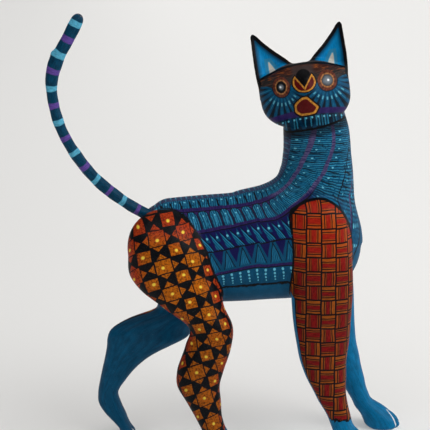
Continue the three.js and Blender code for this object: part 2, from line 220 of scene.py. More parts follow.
# Ear, as level sections in the head's frame: [up, inner edge, outer edge, back, half thickness].
EAR = [
    [2, 8, 29.6, 1, 7],
    [8, 5, 30.6, 1, 6.2],
    [14.6, 4.5, 31.4, 1, 5.4],
    [21.4, 6, 31.7, 1, 4.6],
    [33, 17.4, 31.6, 1.6, 3.2],
    [41, 24.9, 31.4, 2.2, 2.2],
    [45.5, 28.2, 31.3, 2.6, 1.5],
]
EAR_TIP_DOME = 2.6
EAR_DISH = 0.85

# The tail's line at y = 0: [x, z], from the rump to the tip, and the stick's radius: [share, radius].
TAIL_LINE = [
    [-45, 166.2],
    [-63, 177],
    [-82, 193],
    [-95, 210],
    [-104, 227],
    [-109, 243],
    [-110.3, 258],
    [-107.2, 271.5],
    [-98.8, 288],
    [-90.2, 304.5],
]
TAIL_RADII = [
    [0, 4.1],
    [0.25, 4.2],
    [0.5, 3.9],
    [0.62, 3.9],
    [0.71, 4.4],
    [0.78, 5.1],
    [0.86, 4.6],
    [1, 4.6],
]
TAIL_TIP_DOME = 5
SOCKET_DEPTH = 12


def read_table(rows, place):
    """Reads a table at many places of its first column, on a smooth curve through its rows.

    Cubic pieces, whose slope at each row is that of the parabola through the row and its two
    neighbours. Past its ends the table keeps its last values.
    """
    table = np.array(sorted(rows), float)
    knots, values = table[:, 0], table[:, 1:]
    gap = np.diff(knots)[:, None]
    chord = np.diff(values, axis=0) / gap
    inner = (chord[:-1] * gap[1:] + chord[1:] * gap[:-1]) / (gap[:-1] + gap[1:])
    slope = np.vstack([chord[:1], inner, chord[-1:]])
    place = np.clip(place, knots[0], knots[-1])
    k = np.clip(np.searchsorted(knots, place) - 1, 0, len(gap) - 1)
    t = ((place - knots[k]) / gap[k, 0])[:, None]
    rise = values[k + 1] - values[k]
    pull_start = slope[k] * gap[k] - rise
    pull_end = rise - slope[k + 1] * gap[k]
    return values[k] + t * rise + t * (1 - t) * ((1 - t) * pull_start + t * pull_end)


def dome(distance, length):
    """The share of its full size that a section has at a distance from a rounded end: a quarter circle."""
    if length == 0:
        return np.ones_like(distance)
    return np.sqrt(np.clip(1 - (1 - np.clip(distance / length, 0, 1)) ** 2, 0, 1))


def section_points(sides, power):
    """A squarish ellipse: the unit circle, each point pushed out to |p|^power + |q|^power = 1."""
    turn = np.linspace(0, 2 * math.pi, sides, endpoint=False)
    across, along = np.cos(turn), np.sin(turn)
    reach = (np.abs(across) ** power + np.abs(along) ** power) ** (-1 / power)
    return across * reach, along * reach


def head_axes():
    """The head's centre and its axes right, back and up, as rows: turned, lifted, then tilted."""
    level = Vector((math.cos(HEAD_TURN), math.sin(HEAD_TURN), 0))
    level_back = Vector((-math.sin(HEAD_TURN), math.cos(HEAD_TURN), 0))
    flat_up = Vector((0, 0, 1))
    back = level_back * math.cos(HEAD_LIFT) - flat_up * math.sin(HEAD_LIFT)
    lifted_up = level.cross(back)
    right = level * math.cos(HEAD_TILT) + lifted_up * math.sin(HEAD_TILT)
    up = right.cross(back)
    return np.array(HEAD_CENTRE, float), np.array([right, back, up], float)


HEAD_ORIGIN, HEAD_AXES = head_axes()


def to_head(points):
    """Points of the drawing as right, back and up from the head's middle."""
    return (points - HEAD_ORIGIN) @ HEAD_AXES.T


def from_head(points):
    """Points of the head's frame as points of the drawing."""
    return points @ HEAD_AXES + HEAD_ORIGIN


# How far the carving's forms flow into each other where they meet, in mm.
NECK_FILLET = 9
LEG_FILLET = 3.5
HEAD_FILLET = 2.0
EAR_FILLET = 2.5
FAR_AWAY = 60  # a form further off than this has no say in a point's place
PROBE = 0.05  # the step of a measured slope
BOX_MARGIN = 30
LEAST_SLOPE = 0.05  # a field flatter than this is taken to be this steep
LEAST_SQUARE = 0.2  # the same for the square of the mixed slopes
SETTLE_ROUNDS = 4
LONGEST_STEP = 1.5
PUSH_BACK_ROUNDS = 3


def squarish(p, q):
    """The size of the squarish ellipse through a point, 1 on the section's outline."""
    return (np.abs(p) ** SECTION_POWER + np.abs(q) ** SECTION_POWER) ** (1 / SECTION_POWER)


def dome_share(distance, length):
    """0 away from a rounded end, 1 at its tip and more past it: the share of the dome that is left."""
    return np.maximum(1 - distance / length, 0)


def trunk_field(points):
    """Below 0 inside the trunk: the size of the upright section's ellipse through each point, joined
    with the share of the rounded end as two sides of a right angle, less 1, times the section's smaller
    half."""
    x, y, z = points.T
    start, end = TRUNK[0][0], TRUNK[-1][0]
    under, back, half_width = read_table(TRUNK, x).T
    half_height = (back - under) / 2
    reach = squarish(y / half_width, (z - (under + back) / 2) / half_height)
    rounding = dome_share(x - start, RUMP_DOME) + dome_share(end - x, CHEST_DOME)
    return (np.hypot(reach, rounding) - 1) * np.minimum(half_width, half_height)


def limb_field(rows, top_dome):
    """Below 0 inside a limb of level sections, worked out as for the trunk."""
    top, bottom = rows[0][0], rows[-1][0]

    def field(points):
        x, y, z = points.T
        middle_x, half_x, middle_y, half_y = read_table(rows, z).T
        reach = squarish((x - middle_x) / half_x, (y - middle_y) / half_y)
        smaller_half = np.minimum(half_x, half_y)
        if top_dome == 0:
            return np.maximum((reach - 1) * smaller_half, np.maximum(z - top, bottom - z))
        reach = np.hypot(reach, dome_share(top - z, top_dome))
        return np.maximum((reach - 1) * smaller_half, bottom - z)

    return field


def face_push(across, up):
    """How far the face's swellings push a place forward and up: a bell curve for each swelling."""
    forward = np.zeros_like(across)
    raised = np.zeros_like(across)
    for middle, level, radius_across, radius_up, push, lift in FACE_SWELLINGS:
        fade = np.exp(-(((across - middle) / radius_across) ** 2) - ((up - level) / radius_up) ** 2)
        forward += push * fade
        raised += lift * fade
    return forward, raised


def head_field(points):
    """Below 0 inside the head: a squarish egg, whose swollen face is first pushed back to the egg."""
    across, back, up = to_head(points).T
    plain_back, plain_up = back, up
    for _ in range(PUSH_BACK_ROUNDS):
        forward, raised = face_push(across, plain_up)
        front = np.clip(-plain_back / FACE_DEPTH, 0, 1)
        plain_back = back + forward * front
        plain_up = up - raised * front
    ring = np.hypot(across / HEAD_ACROSS, plain_back / HEAD_DEEP)
    egg = (ring ** HEAD_POWER + np.abs(plain_up / HEAD_HIGH) ** HEAD_POWER) ** (1 / HEAD_POWER)
    return (egg - 1) * HEAD_DEEP


def ear_field(side):
    """Below 0 inside an ear's blade before its front is hollowed: level ellipses between its edges."""
    low, high = EAR[0][0], EAR[-1][0]

    def field(points):
        across, back, up = to_head(points).T
        inner, outer, middle, half_thick = read_table(EAR, up).T
        half_wide = (outer - inner) / 2
        p = (side * across - (inner + outer) / 2) / half_wide
        q = (back - middle) / half_thick
        reach = np.hypot(np.hypot(p, q), dome_share(high - up, EAR_TIP_DOME))
        return np.maximum((reach - 1) * np.minimum(half_thick, half_wide), low - up)

    return field


def box_of(rows, axis):
    """The box round a limb's or the trunk's sections, with a margin."""
    table = np.array(rows, float)
    if axis == "x":
        low = [table[:, 0].min(), -table[:, 3].max(), table[:, 1].min()]
        high = [table[:, 0].max(), table[:, 3].max(), table[:, 2].max()]
    else:
        low = [(table[:, 1] - table[:, 2]).min(), (table[:, 3] - table[:, 4]).min(), table[:, 0].min()]
        high = [(table[:, 1] + table[:, 2]).max(), (table[:, 3] + table[:, 4]).max(), table[:, 0].max()]
    return np.array(low) - BOX_MARGIN, np.array(high) + BOX_MARGIN


def head_box():
    """The box round the head and its ears, with a margin."""
    reach = np.array([HEAD_ACROSS, HEAD_DEEP, EAR[-1][0]]) + BOX_MARGIN
    return np.array(HEAD_CENTRE) - reach, np.array(HEAD_CENTRE) + reach


# Each form that the body is carved from: its name, its field, its box, and how it flows into those
# before it.
FORMS = [
    ("trunk", trunk_field, box_of(TRUNK, "x"), 0),
    ("neck", limb_field(NECK, 0), box_of(NECK, "z"), NECK_FILLET),
    ("near_hind", limb_field(NEAR_HIND_LEG, HAUNCH_DOME), box_of(NEAR_HIND_LEG, "z"), LEG_FILLET),
    ("far_hind", limb_field(FAR_HIND_LEG, HAUNCH_DOME), box_of(FAR_HIND_LEG, "z"), LEG_FILLET),
    ("near_fore", limb_field(NEAR_FORELEG, SHOULDER_DOME), box_of(NEAR_FORELEG, "z"), LEG_FILLET),
    ("far_fore", limb_field(FAR_FORELEG, SHOULDER_DOME), box_of(FAR_FORELEG, "z"), LEG_FILLET),
    ("head", head_field, head_box(), HEAD_FILLET),
    ("left_ear", ear_field(-1), head_box(), EAR_FILLET),
    ("right_ear", ear_field(1), head_box(), EAR_FILLET),
]


def distance_and_normal(field, box, points):
    """Distance to a form, as its field over the field's slope, and the slope's direction."""
    count = len(points)
    distance = np.full(count, float(FAR_AWAY))
    normal = np.zeros((count, 3))
    near = ((points > box[0]) & (points < box[1])).all(axis=1)
    place = points[near]
    value = field(place)
    slope = np.stack([(field(place + step) - value) / PROBE for step in np.eye(3) * PROBE], axis=1)
    length = np.maximum(np.linalg.norm(slope, axis=1), LEAST_SLOPE)
    distance[near] = np.clip(value / length, -FAR_AWAY, FAR_AWAY)
    normal[near] = slope / length[:, None]
    return distance, normal


def measure_forms(points):
    """The distance to every form and the direction away from it, one row a form."""
    measured = [distance_and_normal(field, box, points) for _, field, box, _ in FORMS]
    return np.array([m[0] for m in measured]), np.array([m[1] for m in measured])


def flowing_union(distances, normals):
    """The distance to all forms together, each flowing into those before it: where two distances
    differ by less than the fillet, they are mixed, less fillet * share * (1 - share)."""
    distance, normal = distances[0], normals[0]
    for (_, _, _, fillet), other, other_normal in zip(FORMS[1:], distances[1:], normals[1:]):
        share = np.clip(0.5 + 0.5 * (other - distance) / fillet, 0, 1)
        mixed = other + (distance - other) * share - fillet * share * (1 - share)
        normal = other_normal + (normal - other_normal) * share[:, None]
        distance = mixed
    return distance, normal


def settle(points):
    """Moves points along the slope onto the skin of the flowing union."""
    for _ in range(SETTLE_ROUNDS):
        distance, normal = flowing_union(*measure_forms(points))
        square = np.maximum((normal ** 2).sum(axis=1), LEAST_SQUARE)
        step = np.clip(distance, -LONGEST_STEP, LONGEST_STEP) / square
        points = points - normal * step[:, None]
    points[:, 2] = np.maximum(points[:, 2], 0)
    return points


def loft(rings, start, end):
    """A closed skin over rings of points, an array of rings by sides by 3, with a point at each end."""
    count, sides = rings.shape[:2]
    points = np.vstack([rings.reshape(-1, 3), start, end])
    ring, side = np.meshgrid(np.arange(count - 1), np.arange(sides), indexing="ij")
    after = (side + 1) % sides
    quads = np.stack([
        ring * sides + side,
        ring * sides + after,
        (ring + 1) * sides + after,
        (ring + 1) * sides + side,
    ], axis=-1).reshape(-1, 4)
    around = np.arange(sides)
    following = (around + 1) % sides
    first, last = count * sides, count * sides + 1
    top = (count - 1) * sides
    start_cap = np.stack([np.full(sides, first), following, around], axis=1)
    end_cap = np.stack([np.full(sides, last), top + around, top + following], axis=1)
    return points, quads, np.vstack([start_cap, end_cap])


def dense_levels(start, end, count):
    """Places from one rounded end to the other, crowded towards both ends like a cosine."""
    share = (1 - np.cos(np.linspace(0, math.pi, count + 2)[1:-1])) / 2
    return start + (end - start) * share


LOFT_RINGS = 120
LOFT_SIDES = 72
HEAD_RINGS = 60
EAR_TIP_POINT = 0.6  # how far an ear's rough skin is closed above its last section


def trunk_loft():
    """The trunk's rings: at each x the section's ellipse, shrunk near the rounded ends."""
    start, end = TRUNK[0][0], TRUNK[-1][0]
    x = dense_levels(start, end, LOFT_RINGS)
    under, back, half_width = read_table(TRUNK, x).T
    size = dome(x - start, RUMP_DOME) * dome(end - x, CHEST_DOME)
    w, h = section_points(LOFT_SIDES, SECTION_POWER)
    y = (size * half_width)[:, None] * w
    z = ((under + back) / 2)[:, None] + (size * (back - under) / 2)[:, None] * h
    rings = np.stack([np.broadcast_to(x[:, None], y.shape), y, z], axis=-1)
    middle = [(row[1] + row[2]) / 2 for row in (TRUNK[0], TRUNK[-1])]
    return loft(rings, [start, 0, middle[0]], [end, 0, middle[1]])


def limb_loft(rows, top_dome):
    """A limb's rings: at each level the section's ellipse, shrunk under a rounded top."""
    top, bottom = rows[0][0], rows[-1][0]
    z = dense_levels(top, bottom, LOFT_RINGS)
    z[-1] = bottom
    middle_x, half_x, middle_y, half_y = read_table(rows, z).T
    size = dome(top - z, top_dome)
    p, q = section_points(LOFT_SIDES, SECTION_POWER)
    x = middle_x[:, None] + (size * half_x)[:, None] * p
    y = middle_y[:, None] + (size * half_y)[:, None] * q
    rings = np.stack([x, y, np.broadcast_to(z[:, None], x.shape)], axis=-1)
    return loft(rings, [rows[0][1], rows[0][3], top], [rows[-1][1], rows[-1][3], bottom])


def head_loft():
    """The head's rings: level ellipses of a squarish egg, with the face's swellings pushed out."""
    rise = np.cos(np.linspace(0, math.pi, HEAD_RINGS + 2)[1:-1])
    height = np.sign(rise) * np.abs(rise) ** (2 / HEAD_POWER)
    size = (1 - np.abs(height) ** HEAD_POWER) ** (1 / HEAD_POWER)
    p, q = section_points(LOFT_SIDES, 2)
    across = HEAD_ACROSS * size[:, None] * p
    back = HEAD_DEEP * size[:, None] * q
    up = np.broadcast_to(HEAD_HIGH * height[:, None], across.shape)
    forward, raised = face_push(across, up)
    front = np.clip(-back / FACE_DEPTH, 0, 1)
    rings = from_head(np.stack([across, back - forward * front, up + raised * front], axis=-1))
    ends = from_head(np.array([[0, 0, HEAD_HIGH], [0, 0, -HEAD_HIGH]], float))
    return loft(rings, *ends)


def ear_loft(side):
    """An ear's rings before its front is hollowed: level ellipses between its edges."""
    up = np.linspace(EAR[0][0], EAR[-1][0], HEAD_RINGS)
    inner, outer, middle, half_thick = read_table(EAR, up).T
    p, q = section_points(LOFT_SIDES, 2)
    across = side * ((inner + outer) / 2)[:, None] + ((outer - inner) / 2)[:, None] * p
    back = middle[:, None] + half_thick[:, None] * q
    rings = from_head(np.stack([across, back, np.broadcast_to(up[:, None], across.shape)], axis=-1))
    first, last = EAR[0], EAR[-1]
    ends = from_head(np.array([
        [side * (first[1] + first[2]) / 2, first[3], first[0]],
        [side * (last[1] + last[2]) / 2, last[3], last[0] + EAR_TIP_POINT],
    ]))
    return loft(rings, *ends)


def object_from(name, points, faces_by_count):
    """A mesh object from an array of points and arrays of faces, one for each number of corners."""
    mesh = bpy.data.meshes.new(name)
    faces = [face for group in faces_by_count for face in group.tolist()]
    mesh.from_pydata(points.tolist(), [], faces)
    mesh.validate()
    made = bpy.data.objects.new(name, mesh)
    bpy.context.scene.collection.objects.link(made)
    return made


def points_of(mesh):
    """A mesh's vertices as an array."""
    flat = np.empty(len(mesh.vertices) * 3, np.float32)
    mesh.vertices.foreach_get("co", flat)
    return flat.reshape(-1, 3).astype(float)


def put_points(mesh, points):
    """Writes an array into a mesh's vertices."""
    mesh.vertices.foreach_set("co", points.astype(np.float32).ravel())
    mesh.update()


def evaluated_mesh(source):
    """A new mesh of an object with its modifiers carried out."""
    bpy.context.view_layer.update()
    depsgraph = bpy.context.evaluated_depsgraph_get()
    return bpy.data.meshes.new_from_object(source.evaluated_get(depsgraph))


# The head is stretched before the forms are fused, so that its small forms get finer faces.
STRETCH = 1.6
STRETCH_FROM = 202
STRETCH_TO = 232
STRETCH_TABLE_TOP = 330
STRETCH_SAMPLES = 6601


def stretch_tables():
    """Heights and how far each is stretched: the stretch grows smoothly from 1 to STRETCH."""
    height = np.linspace(0, STRETCH_TABLE_TOP, STRETCH_SAMPLES)
    share = np.clip((height - STRETCH_FROM) / (STRETCH_TO - STRETCH_FROM), 0, 1)
    scale = 1 + (STRETCH - 1) * share * share * (3 - 2 * share)
    stretched = np.concatenate([[0], np.cumsum((scale[1:] + scale[:-1]) / 2 * np.diff(height))])
    return height, scale, stretched


def stretch(points):
    """Points with the head's part drawn larger about the head's upright middle line."""
    height, scale, stretched = stretch_tables()
    grow = np.interp(points[:, 2], height, scale)
    middle = np.array(HEAD_CENTRE[:2])
    level = middle + (points[:, :2] - middle) * grow[:, None]
    return np.column_stack([level, np.interp(points[:, 2], height, stretched)])


def unstretch(points):
    """The way back from stretch()."""
    height, scale, stretched = stretch_tables()
    z = np.interp(points[:, 2], stretched, height)
    grow = np.interp(z, height, scale)
    middle = np.array(HEAD_CENTRE[:2])
    return np.column_stack([middle + (points[:, :2] - middle) / grow[:, None], z])


def fused_body(voxel):
    """All the forms' skins fused into one by voxels, then settled on the flowing union."""
    parts = [
        trunk_loft(),
        limb_loft(NECK, 0),
        limb_loft(NEAR_HIND_LEG, HAUNCH_DOME),
        limb_loft(FAR_HIND_LEG, HAUNCH_DOME),
        limb_loft(NEAR_FORELEG, SHOULDER_DOME),
        limb_loft(FAR_FORELEG, SHOULDER_DOME),
        head_loft(),
        ear_loft(1),
        ear_loft(-1),
    ]
    points, faces, first = [], [], 0
    for part_points, quads, caps in parts:
        points.append(part_points)
        faces += [quads + first, caps + first]
        first += len(part_points)
    rough = object_from("rough_body", stretch(np.vstack(points)), faces)
    remesh = rough.modifiers.new("fuse", "REMESH")
    remesh.mode = "VOXEL"
    remesh.voxel_size = voxel
    mesh = evaluated_mesh(rough)
    bpy.data.objects.remove(rough)
    put_points(mesh, settle(unstretch(points_of(mesh))))
    return mesh


# Slits between the toes: each paw's leg and the way it points, in degrees from +X.
PAWS = [(NEAR_HIND_LEG, -8), (FAR_HIND_LEG, 0), (NEAR_FORELEG, -8), (FAR_FORELEG, 0)]
SLIT_TURNS = (-40, -8, 26)
SLIT_HALF_WIDTH = 1.2
SLIT_DEPTH = 2.2
SLIT_TOP = 18
SLIT_LEVEL = 3.5
SLIT_RUN_OUT = 5  # how far below its top a slit begins to get shallower
SLIT_START = (2, 6)  # how far from the paw's middle a slit begins, and is at its full depth
PAW_MARGIN = 4

# How much nearer to an ear than to the head's form, and how high above the head's middle, the ear's
# hollow begins and is at its full depth, in mm.
HOLLOW_FROM_SKIN = (0, 3)
HOLLOW_FROM_HEAD = (12, 19)


def soft_step(value, start, end):
    """0 before start, 1 after end, and a smooth rise between: share^2 * (3 - 2 * share)."""
    share = np.clip((value - start) / (end - start), 0, 1)
    return share * share * (3 - 2 * share)


def hollow_ears(points, distances):
    """Pushes the ears' fronts back by twice the blade's half thickness times the dish, times q squared,
    where q is 0 at the blade's edges and -1 on the middle line of its front."""
    names = [form[0] for form in FORMS]
    _, back, up = to_head(points).T
    _, _, middle, half_thick = read_table(EAR, up).T
    q = np.clip((back - middle) / half_thick, -1, 0)
    ear = np.minimum(distances[names.index("left_ear")], distances[names.index("right_ear")])
    owned = soft_step(distances[names.index("head")] - ear, *HOLLOW_FROM_SKIN)
    owned *= soft_step(up, *HOLLOW_FROM_HEAD)
    push = 2 * half_thick * EAR_DISH * q * q * owned
    return points + push[:, None] * HEAD_AXES[1]


def cut_toes(points):
    """Presses grooves with a bell-shaped section into the front of each paw, towards its middle.

    Also gives how deep in a groove each point lies, from 0 to 1.
    """
    deepest = np.zeros(len(points))
    for rows, heading in PAWS:
        middle_x, half_x, middle_y, half_y = read_table(rows, np.array([SLIT_LEVEL]))[0]
        away = points[:, :2] - (middle_x, middle_y)
        close = (np.abs(away) < (half_x + PAW_MARGIN, half_y + PAW_MARGIN)).all(axis=1)
        close &= points[:, 2] < SLIT_TOP
        for slit_turn in SLIT_TURNS:
            turn = math.radians(heading + slit_turn)
            ahead = away @ (math.cos(turn), math.sin(turn))
            aside = away @ (-math.sin(turn), math.cos(turn))
            groove = np.exp(-((aside / SLIT_HALF_WIDTH) ** 2)) * soft_step(ahead, *SLIT_START) * close
            low = 1 - soft_step(points[:, 2], SLIT_TOP - SLIT_RUN_OUT, SLIT_TOP)
            depth = SLIT_DEPTH * groove * low
            points[:, 0] -= depth * math.cos(turn)
            points[:, 1] -= depth * math.sin(turn)
            deepest = np.maximum(deepest, depth / SLIT_DEPTH)
    return points, deepest


WHITTLE_WAVES = 26
WHITTLE_LONGEST = 34
WHITTLE_SHORTEST = 7
WHITTLE_SEED = 7
WHITTLE_FROM = (1, 8)  # the soles stay flat, and the marks grow between these heights


def whittle(points, normals, depth, seed):
    """Raises and lowers the skin a little, as a knife leaves it: a sum of waves in random directions,
    each with a height in proportion to its length."""
    random = np.random.default_rng(seed)
    wave_lengths = np.geomspace(WHITTLE_LONGEST, WHITTLE_SHORTEST, WHITTLE_WAVES)
    directions = random.normal(size=(WHITTLE_WAVES, 3))
    directions /= np.linalg.norm(directions, axis=1)[:, None]
    phases = random.uniform(0, 2 * math.pi, WHITTLE_WAVES)
    height = np.zeros(len(points))
    for wave_length, direction, phase in zip(wave_lengths, directions, phases):
        height += wave_length * np.sin(points @ direction * 2 * math.pi / wave_length + phase)
    height *= depth / np.abs(wave_lengths).sum() * math.sqrt(WHITTLE_WAVES)
    height *= soft_step(points[:, 2], *WHITTLE_FROM)
    return points + normals * height[:, None]


# Where the coat's pattern turns from the back up into the neck: it fans out round a middle point.
FAN_X, FAN_Z = 28, 205
FAN_RADIUS = 40  # the radius at which lengths along the pattern are true
TINY = 1e-6
# Sections of the fan: [turn in degrees, radius to the spine, radius to the chest, half width].
FAN = [
    [0, 23.5, 99.2, 27.4],
    [45, 20.5, 104, 27],
    [70, 19, 75.5, 22],
    [90, 18.4, 66, 20.1],
]


def coat_places(points):
    """The length along the spine in mm, and the angle round from the spine in degrees, 0 to 180.

    Upright sections on the trunk, level ones on the neck, and between them sections through the
    fan's middle line; in each the angle is that on the ellipse between its two edges.
    """
    x, y, z = points.T
    level, below = x - FAN_X, FAN_Z - z
    turn = np.degrees(np.arctan2(np.maximum(level, 0), np.maximum(below, TINY)))
    turn = np.where(below <= 0, 90, turn)
    inner, outer, half_wide = read_table(FAN, turn).T
    under, back, trunk_half = read_table(TRUNK, x).T
    neck_x, neck_half_x, _, neck_half_y = read_table(NECK, z).T
    on_trunk, on_neck = level <= 0, below <= 0
    radius = np.where(on_trunk, below, np.where(on_neck, level, np.hypot(level, below)))
    inner = np.where(on_trunk, FAN_Z - back, np.where(on_neck, neck_x - neck_half_x - FAN_X, inner))
    outer = np.where(on_trunk, FAN_Z - under, np.where(on_neck, neck_x + neck_half_x - FAN_X, outer))
    half_wide = np.where(on_trunk, trunk_half, np.where(on_neck, neck_half_y, half_wide))
    along = np.where(on_trunk, x, FAN_X + FAN_RADIUS * np.radians(turn))
    along = np.where(on_neck, FAN_X + FAN_RADIUS * math.pi / 2 - below, along)
    outward = ((inner + outer) / 2 - radius) / ((outer - inner) / 2)
    angle = np.degrees(np.arctan2(np.abs(y) / half_wide, outward))
    return along, angle


ARC_STEPS = 16


def leg_places(rows, facing, points):
    """The length round the leg from its outermost line plus that line's X, and the angle round.

    The length is the angle times the mean of sqrt((a cos)^2 + (b sin)^2) up to it, for the section's
    half sizes a and b. Facing is -1 where the outer side looks towards -Y.
    """
    x, y, z = points.T
    middle_x, half_x, middle_y, half_y = read_table(rows, z).T
    turn = np.arctan2((x - middle_x) / half_x, facing * (y - middle_y) / half_y)
    steps = (np.arange(ARC_STEPS) + 0.5) / ARC_STEPS
    angles = turn[:, None] * steps
    reach = np.hypot(half_x[:, None] * np.cos(angles), half_y[:, None] * np.sin(angles)).mean(axis=1)
    return turn * reach + middle_x, np.degrees(turn)


# Each leg, the way that its outer side faces along Y, and how much its pattern is drawn in.
LEGS = [(NEAR_HIND_LEG, -1, 1.0), (FAR_HIND_LEG, 1, 1.25), (NEAR_FORELEG, -1, 1.0), (FAR_FORELEG, 1, 1.25)]
COAT, HIND_LEG, FORELEG, HEAD = range(4)
OWNER_FINISH = [COAT, HIND_LEG, HIND_LEG, FORELEG, FORELEG, HEAD]


# The lines between the coat's bands, as angles round from the spine in degrees: the spine strip's
# edge, then the five lines down the flank. [along, edge, line, line, line, line, line].
BAND_LINES = [
    [-60, 14, 38, 66, 88, 112, 130],
    [-18, 14, 36, 64, 86, 110, 128],
    [0, 13, 35, 60, 84, 108.5, 125],
    [14, 13, 34.8, 57.6, 80.8, 104.3, 124.3],
    [28, 14, 33.5, 54.8, 78.4, 102, 123.3],
    [42, 14, 33.3, 53.8, 76.5, 101, 121.5],
    [52, 14, 33.5, 51.8, 84, 108, 130],
    [62, 15, 34.5, 56, 96, 119, 142],
    [70, 18, 39, 65.5, 106, 132, 156],
    [78, 22, 46, 79, 119, 145.5, 168],
    [86, 26, 53, 92.8, 131.5, 157, 174],
    [94, 30, 62.5, 104, 142, 166, 177],
    [102, 34, 72, 111, 151.5, 172, 178.5],
    [110, 38, 80, 112, 154.5, 174, 179],
    [134, 40, 88, 114, 157, 175, 179.3],
]


def band_numbers(along, angle):
    """The band that each place on the coat lies in, and as a fraction the share of the way down it."""
    lines = np.column_stack([np.zeros(len(along)), read_table(BAND_LINES, along), np.full(len(along), 180)])
    shares = (angle[:, None] - lines[:, :-1]) / np.diff(lines, axis=1)
    return np.clip(shares, 0, 1).sum(axis=1)


# The painted top of the forelegs, rounder than the carved one: [x, z].
SHOULDER_ARCH = [
    [44, 150],
    [47, 163],
    [49.2, 171.9],
    [55.3, 177.3],
    [60.7, 179.9],
    [67.6, 181.2],
    [73.7, 180.4],
    [78.2, 177.9],
    [82.9, 173.9],
    [87.4, 167.3],
    [90.7, 159.7],
    [94, 148],
]
FAR_ARCH_SHIFT = 8  # how much further forward the far foreleg's arch lies
CHIN_DROP = 3  # how far the head's paint runs down past the carved edge
CHIN_SHADE_REACH = 15
FLATTEST_SEAM = 0.06
CLEAR_SEAM = 0.25  # where two forms meet flatter than this slope, the seam's black line fades out
CLEAR_ARCH = 0.4  # the same for the arch over a foreleg
SEAM_FADING = 14
OFF_THE_SKIN = 8  # a form this much further off than the skin owns none of it
PATTERN_TOP = 24  # over this height below its top a leg's pattern is laid on flat from the side
PATTERN_FLAT = 3  # over this height it is quite flat
LOW_BANDS = (2.3, 3.4)
SHOULDER_PLACE = (55, 65)
EAR_EDGE_BLEND = 0.4
SHORTEST_NORMAL = 0.1

# The forms of each painted zone: the coat, the near and far hind leg, the near and far foreleg, and
# the head with its ears.
ZONE_FORMS = [(0, 1), (2,), (3,), (4,), (5,), (6, 7, 8)]
ARCHED_ZONES = ((3, 0), (4, FAR_ARCH_SHIFT))
HEAD_ZONE = 5


def straight_flank(points, along, band):
    """The length along the spine, replaced by plain X on the flank's lower bands before the shoulder."""
    low = soft_step(band, *LOW_BANDS)
    behind_shoulder = 1 - soft_step(points[:, 0], *SHOULDER_PLACE)
    return along + (points[:, 0] - along) * low * behind_shoulder


def above_arch(points, unit, shift):
    """How far points lie above the shoulder's painted arch, in mm across the arch's line, and how much
    of a step along the skin, whose unit normal is given, leads across it, from 0 to 1."""
    table = np.array(SHOULDER_ARCH)
    x = points[:, 0] - shift
    slope = np.interp(x, table[:, 0], np.gradient(table[:, 1], table[:, 0]))
    across = np.column_stack([-slope, np.zeros(len(x)), np.ones(len(x))]) / np.hypot(1, slope)[:, None]
    along_skin = across - (across * unit).sum(axis=1)[:, None] * unit
    share = np.maximum(np.linalg.norm(along_skin, axis=1), FLATTEST_SEAM)
    higher = (points[:, 2] - np.interp(x, table[:, 0], table[:, 1])) / np.hypot(1, slope)
    return higher, share


def ear_places(points, distances, outward):
    """The distance to the ear blade's edge in mm, 1 on the ears and 0 on the head, and how far the skin
    faces back, from -1 to 1."""
    names = [form[0] for form in FORMS]
    across, _, up = to_head(points).T
    inner, outer, _, _ = read_table(EAR, up).T
    higher_inner, higher_outer, _, _ = read_table(EAR, up + PROBE).T
    from_inner = (np.abs(across) - inner) / np.hypot(1, (higher_inner - inner) / PROBE)
    from_outer = (outer - np.abs(across)) / np.hypot(1, (higher_outer - outer) / PROBE)
    ear = np.minimum(distances[names.index("left_ear")], distances[names.index("right_ear")])
    on_ear = soft_step(distances[names.index("head")] - ear, -EAR_EDGE_BLEND, EAR_EDGE_BLEND)
    return np.column_stack([np.minimum(from_inner, from_outer), on_ear, outward @ HEAD_AXES[1]])


